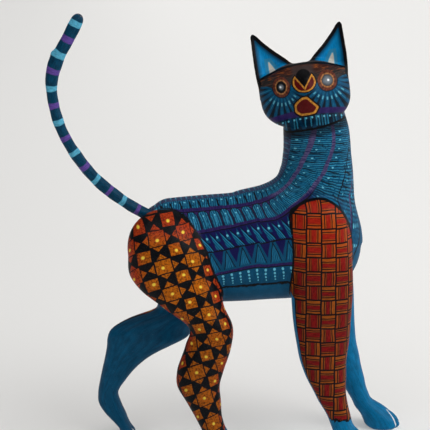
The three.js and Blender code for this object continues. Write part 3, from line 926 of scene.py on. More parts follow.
def paint_places(points, outward):
    """Everything that the paint follows: how deep each point lies in each zone, how far it is to its
    zone's edge, and its place on the coat, on its leg, on the head and on the ears. Outward is the way
    that the skin faced before the ears were hollowed.

    The depth in a zone is the difference of its form's distance and the coat's over that
    difference's slope along the skin. The forelegs end under a painted arch.
    """
    distances, normals = measure_forms(points)
    _, skin_normal = flowing_union(distances, normals)
    picked = [np.array(group)[distances[list(group)].argmin(axis=0)] for group in ZONE_FORMS]
    column = np.arange(len(points))
    grouped = np.array([distances[pick, column] for pick in picked])
    grouped_normals = np.array([normals[pick, column] for pick in picked])
    unit = skin_normal / np.maximum(np.linalg.norm(skin_normal, axis=1), SHORTEST_NORMAL)[:, None]
    apart = grouped_normals - grouped_normals[0]
    apart -= (apart * unit).sum(axis=2)[:, :, None] * unit
    slope = np.maximum(np.linalg.norm(apart, axis=2), FLATTEST_SEAM)
    zones = (grouped - grouped[0]) / slope
    zones[1:][grouped[1:] > OFF_THE_SKIN] = FAR_AWAY
    flatness = np.maximum(CLEAR_SEAM - slope, 0) * SEAM_FADING
    for leg_zone, shift in ARCHED_ZONES:
        above, share = above_arch(points, unit, shift)
        arch_flatness = np.maximum(CLEAR_ARCH - share, 0) * SEAM_FADING
        flatness[leg_zone] = np.where(above < zones[leg_zone], flatness[leg_zone], arch_flatness)
        zones[leg_zone] = np.maximum(zones[leg_zone], above)
    zones[HEAD_ZONE] -= CHIN_DROP
    ordered = np.sort(zones, axis=0)
    nearest = 1 + np.abs(zones[1:]).argmin(axis=0)
    rim = np.clip(ordered[1] - ordered[0] + flatness[nearest, column], 0, FAR_AWAY)
    along, angle = coat_places(points)
    band = band_numbers(along, angle)
    along = straight_flank(points, along, band)
    leg = np.zeros((len(points), 3))
    for number, (rows, facing, spread) in enumerate(LEGS):
        u, turn = leg_places(rows, facing, points)
        top = rows[0][0]
        u += (points[:, 0] - u) * soft_step(points[:, 2], top - PATTERN_TOP, top - PATTERN_FLAT)
        turn *= spread
        owned = grouped[1:HEAD_ZONE].argmin(axis=0) == number
        leg[owned] = np.column_stack([u, points[:, 2], turn])[owned]
    return {
        "zones": zones,
        "rim": rim,
        "coat_place": np.column_stack([along, band, angle]),
        "leg_place": leg,
        "leg_inward": -np.cos(np.radians(leg[:, 2])),
        "head_place": to_head(points),
        "ear_place": ear_places(points, distances, outward),
        "chin_shade": 1 - soft_step(zones[HEAD_ZONE], 0, CHIN_SHADE_REACH),
    }


def face_finishes(mesh, zones):
    """The number of each face's finish: that of the zone that its corners lie deepest in."""
    corners = np.empty(len(mesh.loops), np.int32)
    mesh.loops.foreach_get("vertex_index", corners)
    starts = np.empty(len(mesh.polygons), np.int32)
    mesh.polygons.foreach_get("loop_start", starts)
    counts = np.diff(np.append(starts, len(corners)))
    sums = np.add.reduceat(zones[:, corners], starts, axis=1) / counts
    return np.array(OWNER_FINISH, np.int32)[sums.argmin(axis=0)]


# The tail's stick.
TAIL_SAMPLES = 2000
TAIL_RINGS = 420
TAIL_SIDES = 28
TAIL_TIP_RINGS = 10
PLUG_RADIUS = 4.1
SOCKET_CLEARANCE = 0.3
SOCKET_SIDES = 64
BORE_RUN_OUT = 10
KNOT_SHARE = 0.815  # a cut-off twig's stump along the stick
KNOT_HEIGHT = 1.0
KNOT_LENGTH = 2.2
SHAVED = 0.3  # how far the knife takes the stick below its full radius
SHAVED_FROM = 2
# Knife flats round the stick: height, flats round, and mm along the stick in each radian they turn by.
FLATS = ((0.16, 5, 11), (0.1, 3, -7))
# Swells along the stick: height, mm in each radian, and start in radians.
SWELLS = ((0.14, 4.7, 0), (0.1, 2.1, 1))


def curve_through(points, samples):
    """A centripetal Catmull-Rom curve: between two points a cubic whose end slopes come from the
    points on both sides, each weighted by the square root of its distance."""
    points = np.array(points, float)
    padded = np.vstack([2 * points[0] - points[1], points, 2 * points[-1] - points[-2]])
    gap = np.sqrt(np.linalg.norm(np.diff(padded, axis=0), axis=1))[:, None]
    share = np.linspace(0, len(points) - 1, samples)
    k = np.minimum(share.astype(int), len(points) - 2)
    t = (share - k)[:, None]
    before, start, end, after = padded[k], padded[k + 1], padded[k + 2], padded[k + 3]
    left, middle, right = gap[k], gap[k + 1], gap[k + 2]
    pull_start = (start - before) / left - (end - before) / (left + middle) + (end - start) / middle
    pull_end = (end - start) / middle - (after - start) / (middle + right) + (after - end) / right
    pull_start, pull_end = pull_start * middle, pull_end * middle
    square = -3 * start + 3 * end - 2 * pull_start - pull_end
    cube = 2 * start - 2 * end + pull_start + pull_end
    return start + pull_start * t + square * t ** 2 + cube * t ** 3


def tail_line():
    """Finely spaced points of the tail's middle line, their lengths along it, and its first heading."""
    line = curve_through(TAIL_LINE, TAIL_SAMPLES)
    length = np.concatenate([[0], np.cumsum(np.linalg.norm(np.diff(line, axis=0), axis=1))])
    heading = (line[1] - line[0]) / np.linalg.norm(line[1] - line[0])
    return line, length, heading


def tail_surface():
    """The stick: circles carried along its line, each point's radius changed by shallow knife flats,
    slow swells and the stump of a twig, and closed by a rounded tip."""
    line, length, heading = tail_line()
    total = length[-1]
    dome_start = total - TAIL_TIP_DOME
    along = np.linspace(0, dome_start, TAIL_RINGS)
    bend = np.linspace(0, math.pi / 2, TAIL_TIP_RINGS + 1)[1:-1]
    tip_along = dome_start + TAIL_TIP_DOME * np.sin(bend)
    place = np.concatenate([[-SOCKET_DEPTH], along, tip_along])
    shrink = np.concatenate([[1], np.ones(TAIL_RINGS), np.cos(bend)])
    inside = np.minimum(place, 0)
    centre = np.column_stack([np.interp(place, length, line[:, axis]) for axis in (0, 1)])
    centre += inside[:, None] * heading
    tangent = np.gradient(line, axis=0)
    tangent /= np.linalg.norm(tangent, axis=1)[:, None]
    turned = np.column_stack([np.interp(place, length, tangent[:, axis]) for axis in (0, 1)])
    radius = read_table(TAIL_RADII, place / total)[:, 0] * shrink
    angle = np.linspace(0, 2 * math.pi, TAIL_SIDES, endpoint=False)
    out = (place > SHAVED_FROM)[:, None]
    flats = sum(high * np.cos(angle * count + place[:, None] / turn) for high, count, turn in FLATS)
    swells = sum(high * np.sin(place / long + begin)[:, None] for high, long, begin in SWELLS)
    off_knot = (place - KNOT_SHARE * total)[:, None] / KNOT_LENGTH
    facing = np.clip(np.cos(angle), 0, 1)[None, :] ** 3
    knot = KNOT_HEIGHT * np.exp(-(off_knot ** 2)) * facing
    size = radius[:, None] + (flats + swells - SHAVED) * out * shrink[:, None] + knot
    side_x = -turned[:, 1][:, None] * np.cos(angle) * size
    side_z = turned[:, 0][:, None] * np.cos(angle) * size
    x = centre[:, 0][:, None] + side_x
    z = centre[:, 1][:, None] + side_z
    y = np.sin(angle) * size
    rings = np.stack([x, y, z], axis=-1)
    start = [centre[0, 0], 0, centre[0, 1]]
    end = [line[-1, 0], 0, line[-1, 1]]
    points, quads, caps = loft(rings, start, end)
    along_points = np.concatenate([np.repeat(place, TAIL_SIDES), [place[0], total]])
    around = np.concatenate([np.tile(np.degrees(angle), len(place)), [0, 0]])
    return points, quads, caps, along_points, around


def socket_cutter():
    """The socket's bore in the rump: a cylinder along the tail's first heading, wider than the plug."""
    line, _, heading = tail_line()
    radius = PLUG_RADIUS + SOCKET_CLEARANCE
    angle = np.linspace(0, 2 * math.pi, SOCKET_SIDES, endpoint=False)
    place = np.array([-SOCKET_DEPTH - SOCKET_CLEARANCE, 0, BORE_RUN_OUT])
    centre = line[0] + place[:, None] * heading
    x = centre[:, 0][:, None] - heading[1] * np.cos(angle) * radius
    z = centre[:, 1][:, None] + heading[0] * np.cos(angle) * radius
    y = np.broadcast_to(np.sin(angle) * radius, x.shape)
    rings = np.stack([x, y, z], axis=-1)
    ends = [[centre[0, 0], 0, centre[0, 1]], [centre[-1, 0], 0, centre[-1, 1]]]
    points, quads, caps = loft(rings, *ends)
    return object_from("socket_cutter", points, [quads, caps])


def bored(mesh):
    """The body's mesh with the tail's socket bored into it."""
    whole = bpy.data.objects.new("unbored_body", mesh)
    bpy.context.scene.collection.objects.link(whole)
    cutter = socket_cutter()
    bore = whole.modifiers.new("bore", "BOOLEAN")
    bore.operation = "DIFFERENCE"
    bore.solver = "EXACT"
    bore.object = cutter
    cut = evaluated_mesh(whole)
    bpy.data.objects.remove(whole)
    bpy.data.objects.remove(cutter)
    return cut


def write_attribute(mesh, name, values):
    """Keeps an array on the mesh's vertices, as a number or as a vector each."""
    kind = "FLOAT" if values.ndim == 1 else "FLOAT_VECTOR"
    attribute = mesh.attributes.new(name, kind, "POINT")
    field = "value" if values.ndim == 1 else "vector"
    attribute.data.foreach_set(field, values.astype(np.float32).ravel())


def turn_outwards(mesh):
    """Turns all faces round if the volume that they enclose comes out below 0: they point inwards then."""
    points = points_of(mesh)
    mesh.calc_loop_triangles()
    corners = np.empty(len(mesh.loop_triangles) * 3, np.int32)
    mesh.loop_triangles.foreach_get("vertices", corners)
    a, b, c = (points[corners.reshape(-1, 3)[:, corner]] for corner in range(3))
    if (a * np.cross(b, c)).sum() < 0:
        mesh.flip_normals()


def finished_piece(mesh, name, node):
    """Puts a mesh of drawing millimetres into the frame, inside the solids' box, smooth, as a piece."""
    placed = (points_of(mesh) + SHIFT) * GROW * MM
    put_points(mesh, np.clip(placed, *[np.array(corner) for corner in CAD_BOX]))
    turn_outwards(mesh)
    mesh.polygons.foreach_set("use_smooth", np.ones(len(mesh.polygons), bool))
    mesh.name = name
    piece = bpy.data.objects.new(name, mesh)
    bpy.context.scene.collection.objects.link(piece)
    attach(piece, "root")
    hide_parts(node)
    return piece


def ink(red, green, blue):
    """A colour in steps of 0 to 255 as a screen shows it, as linear light."""
    share = np.array([red, green, blue]) / SCREEN_STEPS
    curve = ((share + SCREEN_LIFT) / (1 + SCREEN_LIFT)) ** SCREEN_POWER
    linear = np.where(share <= SCREEN_TOE, share / SCREEN_TOE_SLOPE, curve)
    return tuple(float(part) for part in linear)


SCREEN_STEPS = 255
SCREEN_TOE = 0.04045  # below this share a screen's colours rise in a straight line
SCREEN_TOE_SLOPE = 12.92
SCREEN_LIFT = 0.055
SCREEN_POWER = 2.4

BLACK_INK = ink(5, 7, 12)
INDIGO_INK = ink(18, 20, 82)
PURPLE_INK = ink(62, 40, 104)
LAVENDER_INK = ink(112, 102, 148)
DEEP_TEAL_INK = ink(0, 38, 66)
TEAL_INK = ink(0, 84, 124)
PALE_TEAL_INK = ink(46, 140, 176)
DOT_INK = ink(104, 196, 222)
PLAIN_BLUE_INK = ink(0, 90, 130)
AMBER_INK = ink(190, 100, 8)
BRICK_INK = ink(178, 58, 18)
RED_INK = ink(158, 16, 10)
ORANGE_INK = ink(220, 112, 16)
YELLOW_INK = ink(250, 220, 70)
GOLD_INK = ink(222, 150, 56)
WINE_INK = ink(86, 6, 8)
TAN_INK = ink(205, 138, 84)
BROWN_INK = ink(128, 66, 48)
ASH_INK = ink(74, 66, 66)
RUST_INK = ink(160, 84, 34)
CREAM_INK = ink(214, 208, 196)
CLAW_INK = ink(236, 240, 242)
SKY_INK = ink(96, 190, 224)
VIOLET_INK = ink(106, 78, 166)
CHARCOAL_INK = ink(24, 26, 30)
PUPIL_INK = ink(12, 14, 18)
# a painted sheen in the pupils
PUPIL_SHEEN_INK = ink(120, 128, 136)
GLINT_INK = ink(240, 244, 246)
NOSE_INK = ink(4, 5, 8)
RUBBED_WOOD_INK = ink(160, 120, 84)
EAR_BLUE_INK = ink(0, 142, 206)
TAIL_BLUE_INK = ink(0, 66, 96)
FLOOR_TONE = ink(214, 213, 211)
WHITE = (1, 1, 1)


class Strand:
    """A shader socket whose arithmetic adds Math nodes to its paint's tree."""

    def __init__(self, paint, socket):
        self.paint = paint
        self.socket = socket

    def math(self, operation, *others):
        """One Math node of this strand and up to two more values."""
        values = dict(enumerate((self, *others)))
        return self.paint.add("ShaderNodeMath", {"operation": operation}, values)

    def __add__(self, other):
        return self.math("ADD", other)

    def __radd__(self, other):
        return self.math("ADD", other)

    def __sub__(self, other):
        return self.math("SUBTRACT", other)

    def __rsub__(self, other):
        return self.paint.add("ShaderNodeMath", {"operation": "SUBTRACT"}, {0: other, 1: self})

    def __mul__(self, other):
        return self.math("MULTIPLY", other)

    def __rmul__(self, other):
        return self.math("MULTIPLY", other)

    def __truediv__(self, other):
        return self.math("DIVIDE", other)

    def __rtruediv__(self, other):
        return self.paint.add("ShaderNodeMath", {"operation": "DIVIDE"}, {0: other, 1: self})

    def __neg__(self):
        return self.math("MULTIPLY", -1.0)

    def __pow__(self, other):
        return self.math("POWER", other)

    def __abs__(self):
        return self.math("ABSOLUTE")

    def floor(self):
        return self.math("FLOOR")

    def sine(self):
        return self.math("SINE")

    def root(self):
        return self.math("SQRT")

    def least(self, other):
        return self.math("MINIMUM", other)

    def most(self, other):
        return self.math("MAXIMUM", other)

    def angle_over(self, other):
        """The angle whose tangent is this strand over the other, in radians."""
        return self.math("ARCTAN2", other)

    def length_with(self, other):
        """The length of the slanted side over this strand and the other."""
        return (self * self + other * other).root()

    def rise(self, start, end):
        """0 below start and 1 above end, smooth between; start is below end."""
        sockets = {"Value": self, "From Min": start, "From Max": end}
        return self.paint.add("ShaderNodeMapRange", {"interpolation_type": "SMOOTHSTEP"}, sockets)

    def fall(self, start, end):
        """1 below start and 0 above end, smooth between."""
        return 1 - self.rise(start, end)

    def within(self, low, high, soft):
        """1 between low and high and 0 outside, over a soft edge."""
        return self.rise(low - soft, low + soft) * self.fall(high - soft, high + soft)

    def inside(self, soft=0.12):
        """1 where this signed depth in mm is above 0, over a soft edge like a brush's."""
        return self.rise(-soft, soft)

    def stroke(self, half_width, soft=0.12):
        """1 where this offset in mm is less than half a brush line's width on either side."""
        return abs(self).fall(half_width - soft, half_width + soft)

    def cells(self, pitch):
        """The number of the step of one pitch that this length falls in, and the offset from its middle."""
        share = self / pitch
        number = share.floor()
        return number, (share - number - 0.5) * pitch


class Paint:
    """One material, and the node tree that its finish is worked out in."""

    def __init__(self, owner, coordinates="Object", scale=1 / MM):
        self.owner = owner
        self.owner.use_nodes = True
        self.tree = owner.node_tree
        self.tree.nodes.clear()
        places = self.add("ShaderNodeTexCoord", output=coordinates)
        self.place = self.vector_math("SCALE", places, {"Scale": scale})

    def add(self, kind, settings=None, sockets=None, output=0):
        """Adds a node: its settings first, then the values or links of its sockets."""
        node = self.tree.nodes.new(kind)
        for name, value in (settings or {}).items():
            setattr(node, name, value)
        for name, value in (sockets or {}).items():
            if isinstance(value, Strand):
                self.tree.links.new(value.socket, node.inputs[name])
            else:
                node.inputs[name].default_value = value
        return Strand(self, node.outputs[output])

    def vector_math(self, operation, vector, sockets=None, output=0):
        """One Vector Math node whose first input is the vector."""
        inputs = {0: vector, **(sockets or {})}
        return self.add("ShaderNodeVectorMath", {"operation": operation}, inputs, output)

    def mix(self, share, colour, other):
        """The colour where share is 0, the other where it is 1."""
        sockets = {0: share, 6: opaque(colour), 7: opaque(other)}
        return self.add("ShaderNodeMix", {"data_type": "RGBA"}, sockets, 2)

    def tones(self, share, colour, dark, light=1.0):
        """A colour from its dark tone where share is 0 to its light tone where it is 1."""
        return self.mix(share, darker(colour, dark), darker(colour, light))

    def numbers(self, vector):
        """A vector's three parts."""
        node = self.tree.nodes.new("ShaderNodeSeparateXYZ")
        self.tree.links.new(vector.socket, node.inputs[0])
        return [Strand(self, socket) for socket in node.outputs]

    def vector(self, x, y, z=0.0):
        """A vector of three numbers or strands."""
        return self.add("ShaderNodeCombineXYZ", None, {0: x, 1: y, 2: z})

    def kept(self, name, output="Vector"):
        """An attribute of the mesh."""
        return self.add("ShaderNodeAttribute", {"attribute_name": name}, None, output)

    def noise(self, scale, detail=2.0, vector=None, roughness=0.5):
        """Cloudy noise from 0 to 1, its scale in clouds a millimetre."""
        sockets = {
            "Vector": self.place if vector is None else vector,
            "Scale": scale,
            "Detail": detail,
            "Roughness": roughness,
        }
        return self.add("ShaderNodeTexNoise", None, sockets)

    def chance(self, x, y, seed=0.0):
        """A random number from 0 to 1 for each pair of whole numbers."""
        sockets = {"Vector": self.vector(x, y, seed)}
        return self.add("ShaderNodeTexWhiteNoise", {"noise_dimensions": "3D"}, sockets)

    def finish(self, colour, roughness, height, varnish):
        """Connects the surface: painted wood under varnish, with the paint's own relief in mm."""
        bump = self.add("ShaderNodeBump", None, {
            "Strength": BUMP_STRENGTH,
            "Distance": MM,
            "Height": height,
        })
        surface = self.add("ShaderNodeBsdfPrincipled", None, {
            "Base Color": colour,
            "Roughness": roughness,
            "Normal": bump,
            "Coat Weight": varnish,
            "Coat Roughness": VARNISH_ROUGHNESS,
            "Specular IOR Level": PAINT_SHINE,
        })
        return self.shown(surface)

    def shown(self, surface, output_kind="ShaderNodeOutputMaterial"):
        """Connects a surface to the output, and gives the material or the world."""
        output = self.tree.nodes.new(output_kind)
        self.tree.links.new(surface.socket, output.inputs["Surface"])
        return self.owner


BUMP_STRENGTH = 0.6
VARNISH_ROUGHNESS = 0.3
PAINT_SHINE = 0.04


def opaque(colour):
    """A colour of three parts with its fourth, or a strand as it is."""
    return colour if isinstance(colour, Strand) else (*colour[:3], 1.0)


def darker(colour, share):
    """A colour's three parts times a share."""
    return tuple(part * share for part in colour[:3])


class Brushwork:
    """What every painted zone is built from: a colour, the paint's height, and the brush's marks.

    Each layer covers the ones before it where its mask is 1, and stands up by its thickness in mm.
    """

    def __init__(self, paint, ground, streaks):
        self.paint = paint
        self.colour = opaque(ground)
        self.streaks = streaks
        self.height = streaks * 0.05

    def lay(self, colour, mask, thickness=0.0):
        """Covers what is there with a colour where the mask is 1."""
        self.colour = self.paint.mix(mask, self.colour, colour)
        if thickness:
            self.height = self.height + mask * thickness

    def dot(self, x, y, radius, mask, thickness=0.12, soft=0.2):
        """A raised light blue dot of a radius in mm, round the place where both offsets are 0."""
        self.lay(DOT_INK, mask * (radius - x.length_with(y)).inside(soft), thickness)

    def done(self, rub=None):
        """The finished material: mottled, with wood grain under the paint and uneven varnish."""
        paint = self.paint
        x, y, z = paint.numbers(paint.place)
        grain_place = paint.vector(x * 0.9, y * 0.9, z * 0.12)
        grain = paint.noise(1.0, 5.0, grain_place, 0.6)
        mottle = paint.noise(0.22, 5.0)
        specks = paint.noise(2.6, 3.0)
        shade = paint.tones((mottle - 0.35) * 1.1, WHITE, 0.78, 1.14)
        shaded = paint.vector_math("MULTIPLY", self.colour, {1: shade})
        dust = (specks - 0.62).rise(0.0, 0.2) * 0.12
        dusted = paint.mix(dust, shaded, CREAM_INK)
        if rub is not None:
            dusted = paint.mix(rub, dusted, RUBBED_WOOD_INK)
        roughness = 0.4 + 0.14 * mottle + 0.1 * self.streaks
        varnish = 0.03 + 0.13 * mottle
        relief = self.height + grain * 0.09 + specks * 0.03
        return paint.finish(dusted, roughness, relief, varnish)


def rubbed(paint, edges):
    """Where handling has rubbed the paint thin: in small flecks on the kept edges."""
    flecks = paint.noise(0.9, 6.0, None, 0.7)
    return (edges * 0.5 + flecks - 0.98).rise(0.0, 0.12) * 0.55


def streaked(paint, across, along, fineness, length):
    """A brush's streaks: noise drawn out along the stroke."""
    return paint.noise(1.0, 3.0, paint.vector(across * fineness, along / length, 0.0), 0.6)


def wobble(paint, size, scale=0.11):
    """A slow drift of a hand-drawn pattern in mm, as two numbers."""
    clouds = paint.add("ShaderNodeTexNoise", None, {
        "Vector": paint.place,
        "Scale": scale,
        "Detail": 1.0,
    }, 1)
    red, green, _ = paint.numbers(clouds)
    return (red - 0.5) * size, (green - 0.5) * size


def hatching(paint, work, along, across, pitch, mask):
    """Fine light strokes side by side across a band, each with its own strength."""
    drift = streaked(paint, along, across, 0.35, 3.0) * 1.2
    number, offset = (along + drift).cells(pitch)
    strength = paint.chance(number, 3.0)
    broken = paint.noise(1.0, 2.0, paint.vector(number * 7.0, across * 0.55), 0.5)
    gap = (abs(offset) - pitch * 0.36).rise(0.0, pitch * 0.1)
    work.lay(DEEP_TEAL_INK, gap * mask * 0.7)
    line = offset.stroke(pitch * 0.2, pitch * 0.16) * (strength * 0.6 + 0.4) * broken.rise(0.32, 0.5)
    work.lay(PALE_TEAL_INK, line * mask, 0.03)


def coat_finish(colours, sizes):
    """The coat: seven bands along the back, the flank and the neck, each with its own folk pattern.

    The kept coat place gives the length along the spine and the band number, whose whole numbers are
    the lines between bands; its fraction is the share of the way down the band.
    """
    paint = Paint(bpy.data.materials.new("coat_paint"))
    along, band, _ = paint.numbers(paint.kept("coat_place"))
    rim = paint.kept("rim", "Fac")
    drift_along, drift_band = wobble(paint, sizes.hand_wobble)
    along = along + drift_along
    band = band + drift_band * 0.06
    number = band.floor()
    share = band - number
    later = band.rise(2.9, 3.0) * LOW_BANDS_RUN_ON
    on_neck = (along + 6 * share - later).rise(NECK_STARTS, NECK_STARTS + 18)
    on_trunk = 1 - on_neck
    streaks = streaked(paint, along, band, 1.5, 0.35)
    ground = paint.tones(streaks.rise(0.25, 0.75), colours.teal, 0.35, 1.1)
    work = Brushwork(paint, ground, streaks)

    # The spine strip: dark teal streaked with dim lavender, partly paint and partly a painted sheen along the
    # top of the back, with pale strokes and dots.
    spine = band.fall(0.9, 1.02)
    work.lay(paint.mix(streaks.rise(0.3, 0.7), DEEP_TEAL_INK, darker(LAVENDER_INK, 0.6)), spine * 0.75)
    _, offset = along.cells(SPINE_DOT_PITCH)
    work.lay(PALE_TEAL_INK, spine * offset.stroke(0.3, 0.2) * band.within(0.35, 0.8, 0.05) * 0.7, 0.05)
    work.dot(offset, band * BAND_WIDTHS[0] - 1.7, 0.7, spine)

    band_share_mm = [share * width for width in BAND_WIDTHS]
    one, two, three, four, five = [band.within(edge, edge + 1, 0.01) for edge in (1, 2, 3, 4, 5)]
    belly = band.rise(5.98, 6.04)

    # First band: blocks with a dot and short strokes.
    down = band_share_mm[1]
    _, offset = (along - down * 0.25).cells(sizes.block_pitch * 0.86)
    hatching(paint, work, along, down, 1.5, one)
    work.lay(BLACK_INK, one * (abs(offset) - 2.45).rise(0.0, 0.35) * down.rise(0.5, 2.2), 0.0)
    work.dot(offset, down - 2.1, 0.62, one)

    # Second band: blocks with rounded tops and strokes inside.
    down = band_share_mm[2]
    block, offset = (along - down * 0.34).cells(sizes.block_pitch)
    arch = 3.3 - offset.length_with((4.4 - down).most(0.0))
    inked = paint.mix(streaks, darker(colours.indigo, 0.8), PURPLE_INK)
    work.lay(inked, two * on_trunk * (-arch).inside(0.2))
    inner = two * on_trunk * (arch - 0.3).inside(0.15)
    hatching(paint, work, along - down * 0.34, down, 1.45, inner)
    work.lay(BLACK_INK, two * on_trunk * arch.stroke(0.28))
    tilt = (paint.chance(block, 5.0) - 0.5) * 2.4
    bar = abs(offset + (down - 8.0) * 0.12 * tilt).fall(0.2, 0.55)
    work.lay(PALE_TEAL_INK, inner * bar * down.within(4.2, 10.5, 0.6) * 0.8, 0.06)
    work.dot(offset - tilt * 0.4, down - 4.6, 0.5, inner, 0.1)

    # Third band: leaning triangles on indigo, with a dot between two tips.
    down = band_share_mm[3]
    _, offset = (along - down * 0.32).cells(sizes.triangle_pitch)
    height = ((down - 1.9) / 10.6)
    place = offset / sizes.triangle_pitch + 0.5
    edge = (place - (0.02 + 0.93 * height)) * sizes.triangle_pitch * 0.72
    back_edge = (place - (0.0 + 0.3 * height)) * sizes.triangle_pitch * 0.9
    indigo = paint.tones(streaks, colours.indigo, 0.7)
    work.lay(indigo, three * on_trunk)
    cap = (0.17 * (height / 0.42) - abs(place - 0.68)) * sizes.triangle_pitch * 0.8
    deep = paint.tones(streaks, colours.teal, 0.5)
    work.lay(deep, three * on_trunk * cap.inside() * height.fall(0.5, 0.6))
    wedge = (-edge).least(back_edge)
    lit = paint.tones(streaks.rise(0.3, 0.75), colours.teal, 0.5, 1.15)
    work.lay(lit, three * on_trunk * wedge.inside() * height.within(0.04, 0.98, 0.03))
    for gap, strength in ((0.45, 0.9), (1.5, 0.5), (2.5, 0.35)):
        line = (edge + gap).stroke(0.2, 0.2) * wedge.inside()
        work.lay(PALE_TEAL_INK, three * on_trunk * line * strength * height.rise(0.1, 0.3), 0.06)
    work.lay(BLACK_INK, three * on_trunk * (edge - 0.25).stroke(0.22) * height.within(0.0, 1.0, 0.03))
    work.dot((place - 0.66) * sizes.triangle_pitch, down - 5.2, 0.7, three * on_trunk, 0.14, 0.25)

    # Fourth band: upright triangles with strokes fanning from their tips, indigo ones between them.
    down = band_share_mm[4]
    _, offset = (along - down * 0.2).cells(sizes.triangle_pitch * 1.5)
    height = ((down - 0.8) / 13.0)
    half = abs(offset)
    flank = (3.9 * height - half) * 0.9
    work.lay(deep, four * on_trunk)
    hanging = (sizes.triangle_pitch * 0.75 - half) - 3.4 * (1 - height * 1.35)
    work.lay(indigo, four * on_trunk * (-hanging).inside(0.2))
    work.lay(lit, four * on_trunk * flank.inside() * height.within(0.03, 1.0, 0.02))
    fan = (offset / (height.most(0.05) * 3.9)) * 2.5
    fan_line = (fan - fan.floor() - 0.5)
    rays = abs(fan_line).fall(0.08, 0.28) * flank.inside() * height.within(0.15, 0.95, 0.06)
    work.lay(PALE_TEAL_INK, four * on_trunk * rays * 0.55, 0.05)
    work.lay(BLACK_INK, four * on_trunk * flank.stroke(0.25) * height.within(0.0, 1.0, 0.02))

    # Fifth band: columns of dots that get smaller downwards.
    down = band_share_mm[5]
    _, offset = (along - down * 0.15).cells(sizes.dot_pitch)
    work.lay(deep, five * on_trunk * 0.7)
    for depth, radius in DOT_COLUMN:
        work.dot(offset, down - depth, radius, five * on_trunk * 0.95, 0.1, 0.22)

    # The belly is plain, streaked along.
    plain = paint.tones(streaked(paint, band, along, 5.0, 9.0), colours.plain_blue, 0.55)
    work.lay(plain, belly)

    # On the neck every band has dense cross strokes, wedge-shaped lines and dots.
    for edge, mask in enumerate((one, two, three, four, five), start=1):
        width = BAND_WIDTHS[edge]
        down = band_share_mm[edge]
        zone = mask * on_neck
        strokes = streaked(paint, along, down, 0.9, 5.0)
        tone = paint.tones(strokes.rise(0.3, 0.7), colours.teal, 0.08, 1.25)
        work.lay(tone, zone * 0.9)
        hatching(paint, work, along, down, 1.35, zone)
        _, offset = (along + down * 0.1).cells(sizes.block_pitch * 0.8)
        wedge = offset.stroke(0.42, 0.2) * share.fall(0.35, 0.75)
        work.lay(BLACK_INK, zone * wedge * 0.9)
        work.dot(offset - 2.7, down - width * 0.3, 0.6, zone, 0.1)

    # Lines between the bands: purple, indigo or black, a little lighter on the neck.
    strip_ink = paint.mix(on_neck, darker(PURPLE_INK, 0.7), darker(LAVENDER_INK, 0.8))
    strip_ink = paint.mix(streaks.rise(0.3, 0.65) * 0.8, strip_ink, darker(colours.indigo, 0.8))
    strip_sway = (paint.noise(0.35, 2.0) - 0.5) * 1.3
    for edge, width, colour in (
        (2, 1.2, strip_ink),
        (3, 1.1, strip_ink),
        (4, 0.42, BLACK_INK),
        (5, 1.0, strip_ink),
        (6, 0.42, BLACK_INK),
    ):
        above = (band - edge) * BAND_WIDTHS[edge - 1]
        below = (band - edge) * BAND_WIDTHS[min(edge, 5)]
        offset = above.least(0.0) + below.most(0.0)
        work.lay(colour, (offset + strip_sway).stroke(width, 0.25), 0.03)
    for edge, side in ((2, 1.2), (3, 1.1), (5, 1.0)):
        offset = (band - edge) * BAND_WIDTHS[edge] - side
        work.lay(BLACK_INK, offset.stroke(0.3, 0.2) * on_trunk)
    shadow = paint.kept("chin_shade", "Fac")
    work.lay(darker(BLACK_INK, 1.0), shadow * 0.75)
    work.lay(BLACK_INK, rim.fall(0.55, 0.9), 0.04)
    return work.done()


SPINE_DOT_PITCH = 3.6
NECK_STARTS = 40
LOW_BANDS_RUN_ON = 24  # how much further forward the flank's lower bands keep their pattern
BAND_WIDTHS = [10.0, 7.6, 13.0, 13.4, 15.9, 11.0, 20.0]
DOT_COLUMN = ((2.6, 0.85), (4.8, 0.7), (6.8, 0.58), (8.6, 0.45))


def leg_parts(paint):
    """The kept place on a leg: the length round it, the height, the turn from its outer line, and how
    far it faces inward, from -1 to 1."""
    around, height, turn = paint.numbers(paint.kept("leg_place"))
    return around, height, turn, paint.kept("leg_inward", "Fac")


def plain_skin(paint, work, blue, mask, turn, height):
    """Plain blue with long streaks down the leg."""
    streaks = streaked(paint, turn, height, 0.09, 9.0)
    work.lay(paint.tones(streaks.rise(0.25, 0.8), blue, 0.62, 1.12), mask)


def polynomial(terms, first, second):
    """terms[0] + terms[1] p + terms[2] q + terms[3] p^2 + terms[4] p q + terms[5] q^2."""
    constant, p, q, pp, pq, qq = terms
    return constant + first * p + second * q + first * first * pp + first * second * pq + second * second * qq


# The lattice's cell numbers, from the length round the leg and the height, each less its middle.
LATTICE_MIDDLE = (-20, 100)
LATTICE_SCALE = 50
LATTICE_ALONG = (0.2876, 2.3681, 0.6847, 0.4112, 0.1448, -0.0198)
LATTICE_DOWN = (3.2263, 0.6664, -2.5226, -0.6339, -0.4657, -0.0949)
LATTICE_SIDES = (18.65, 19.5)  # mm in one cell


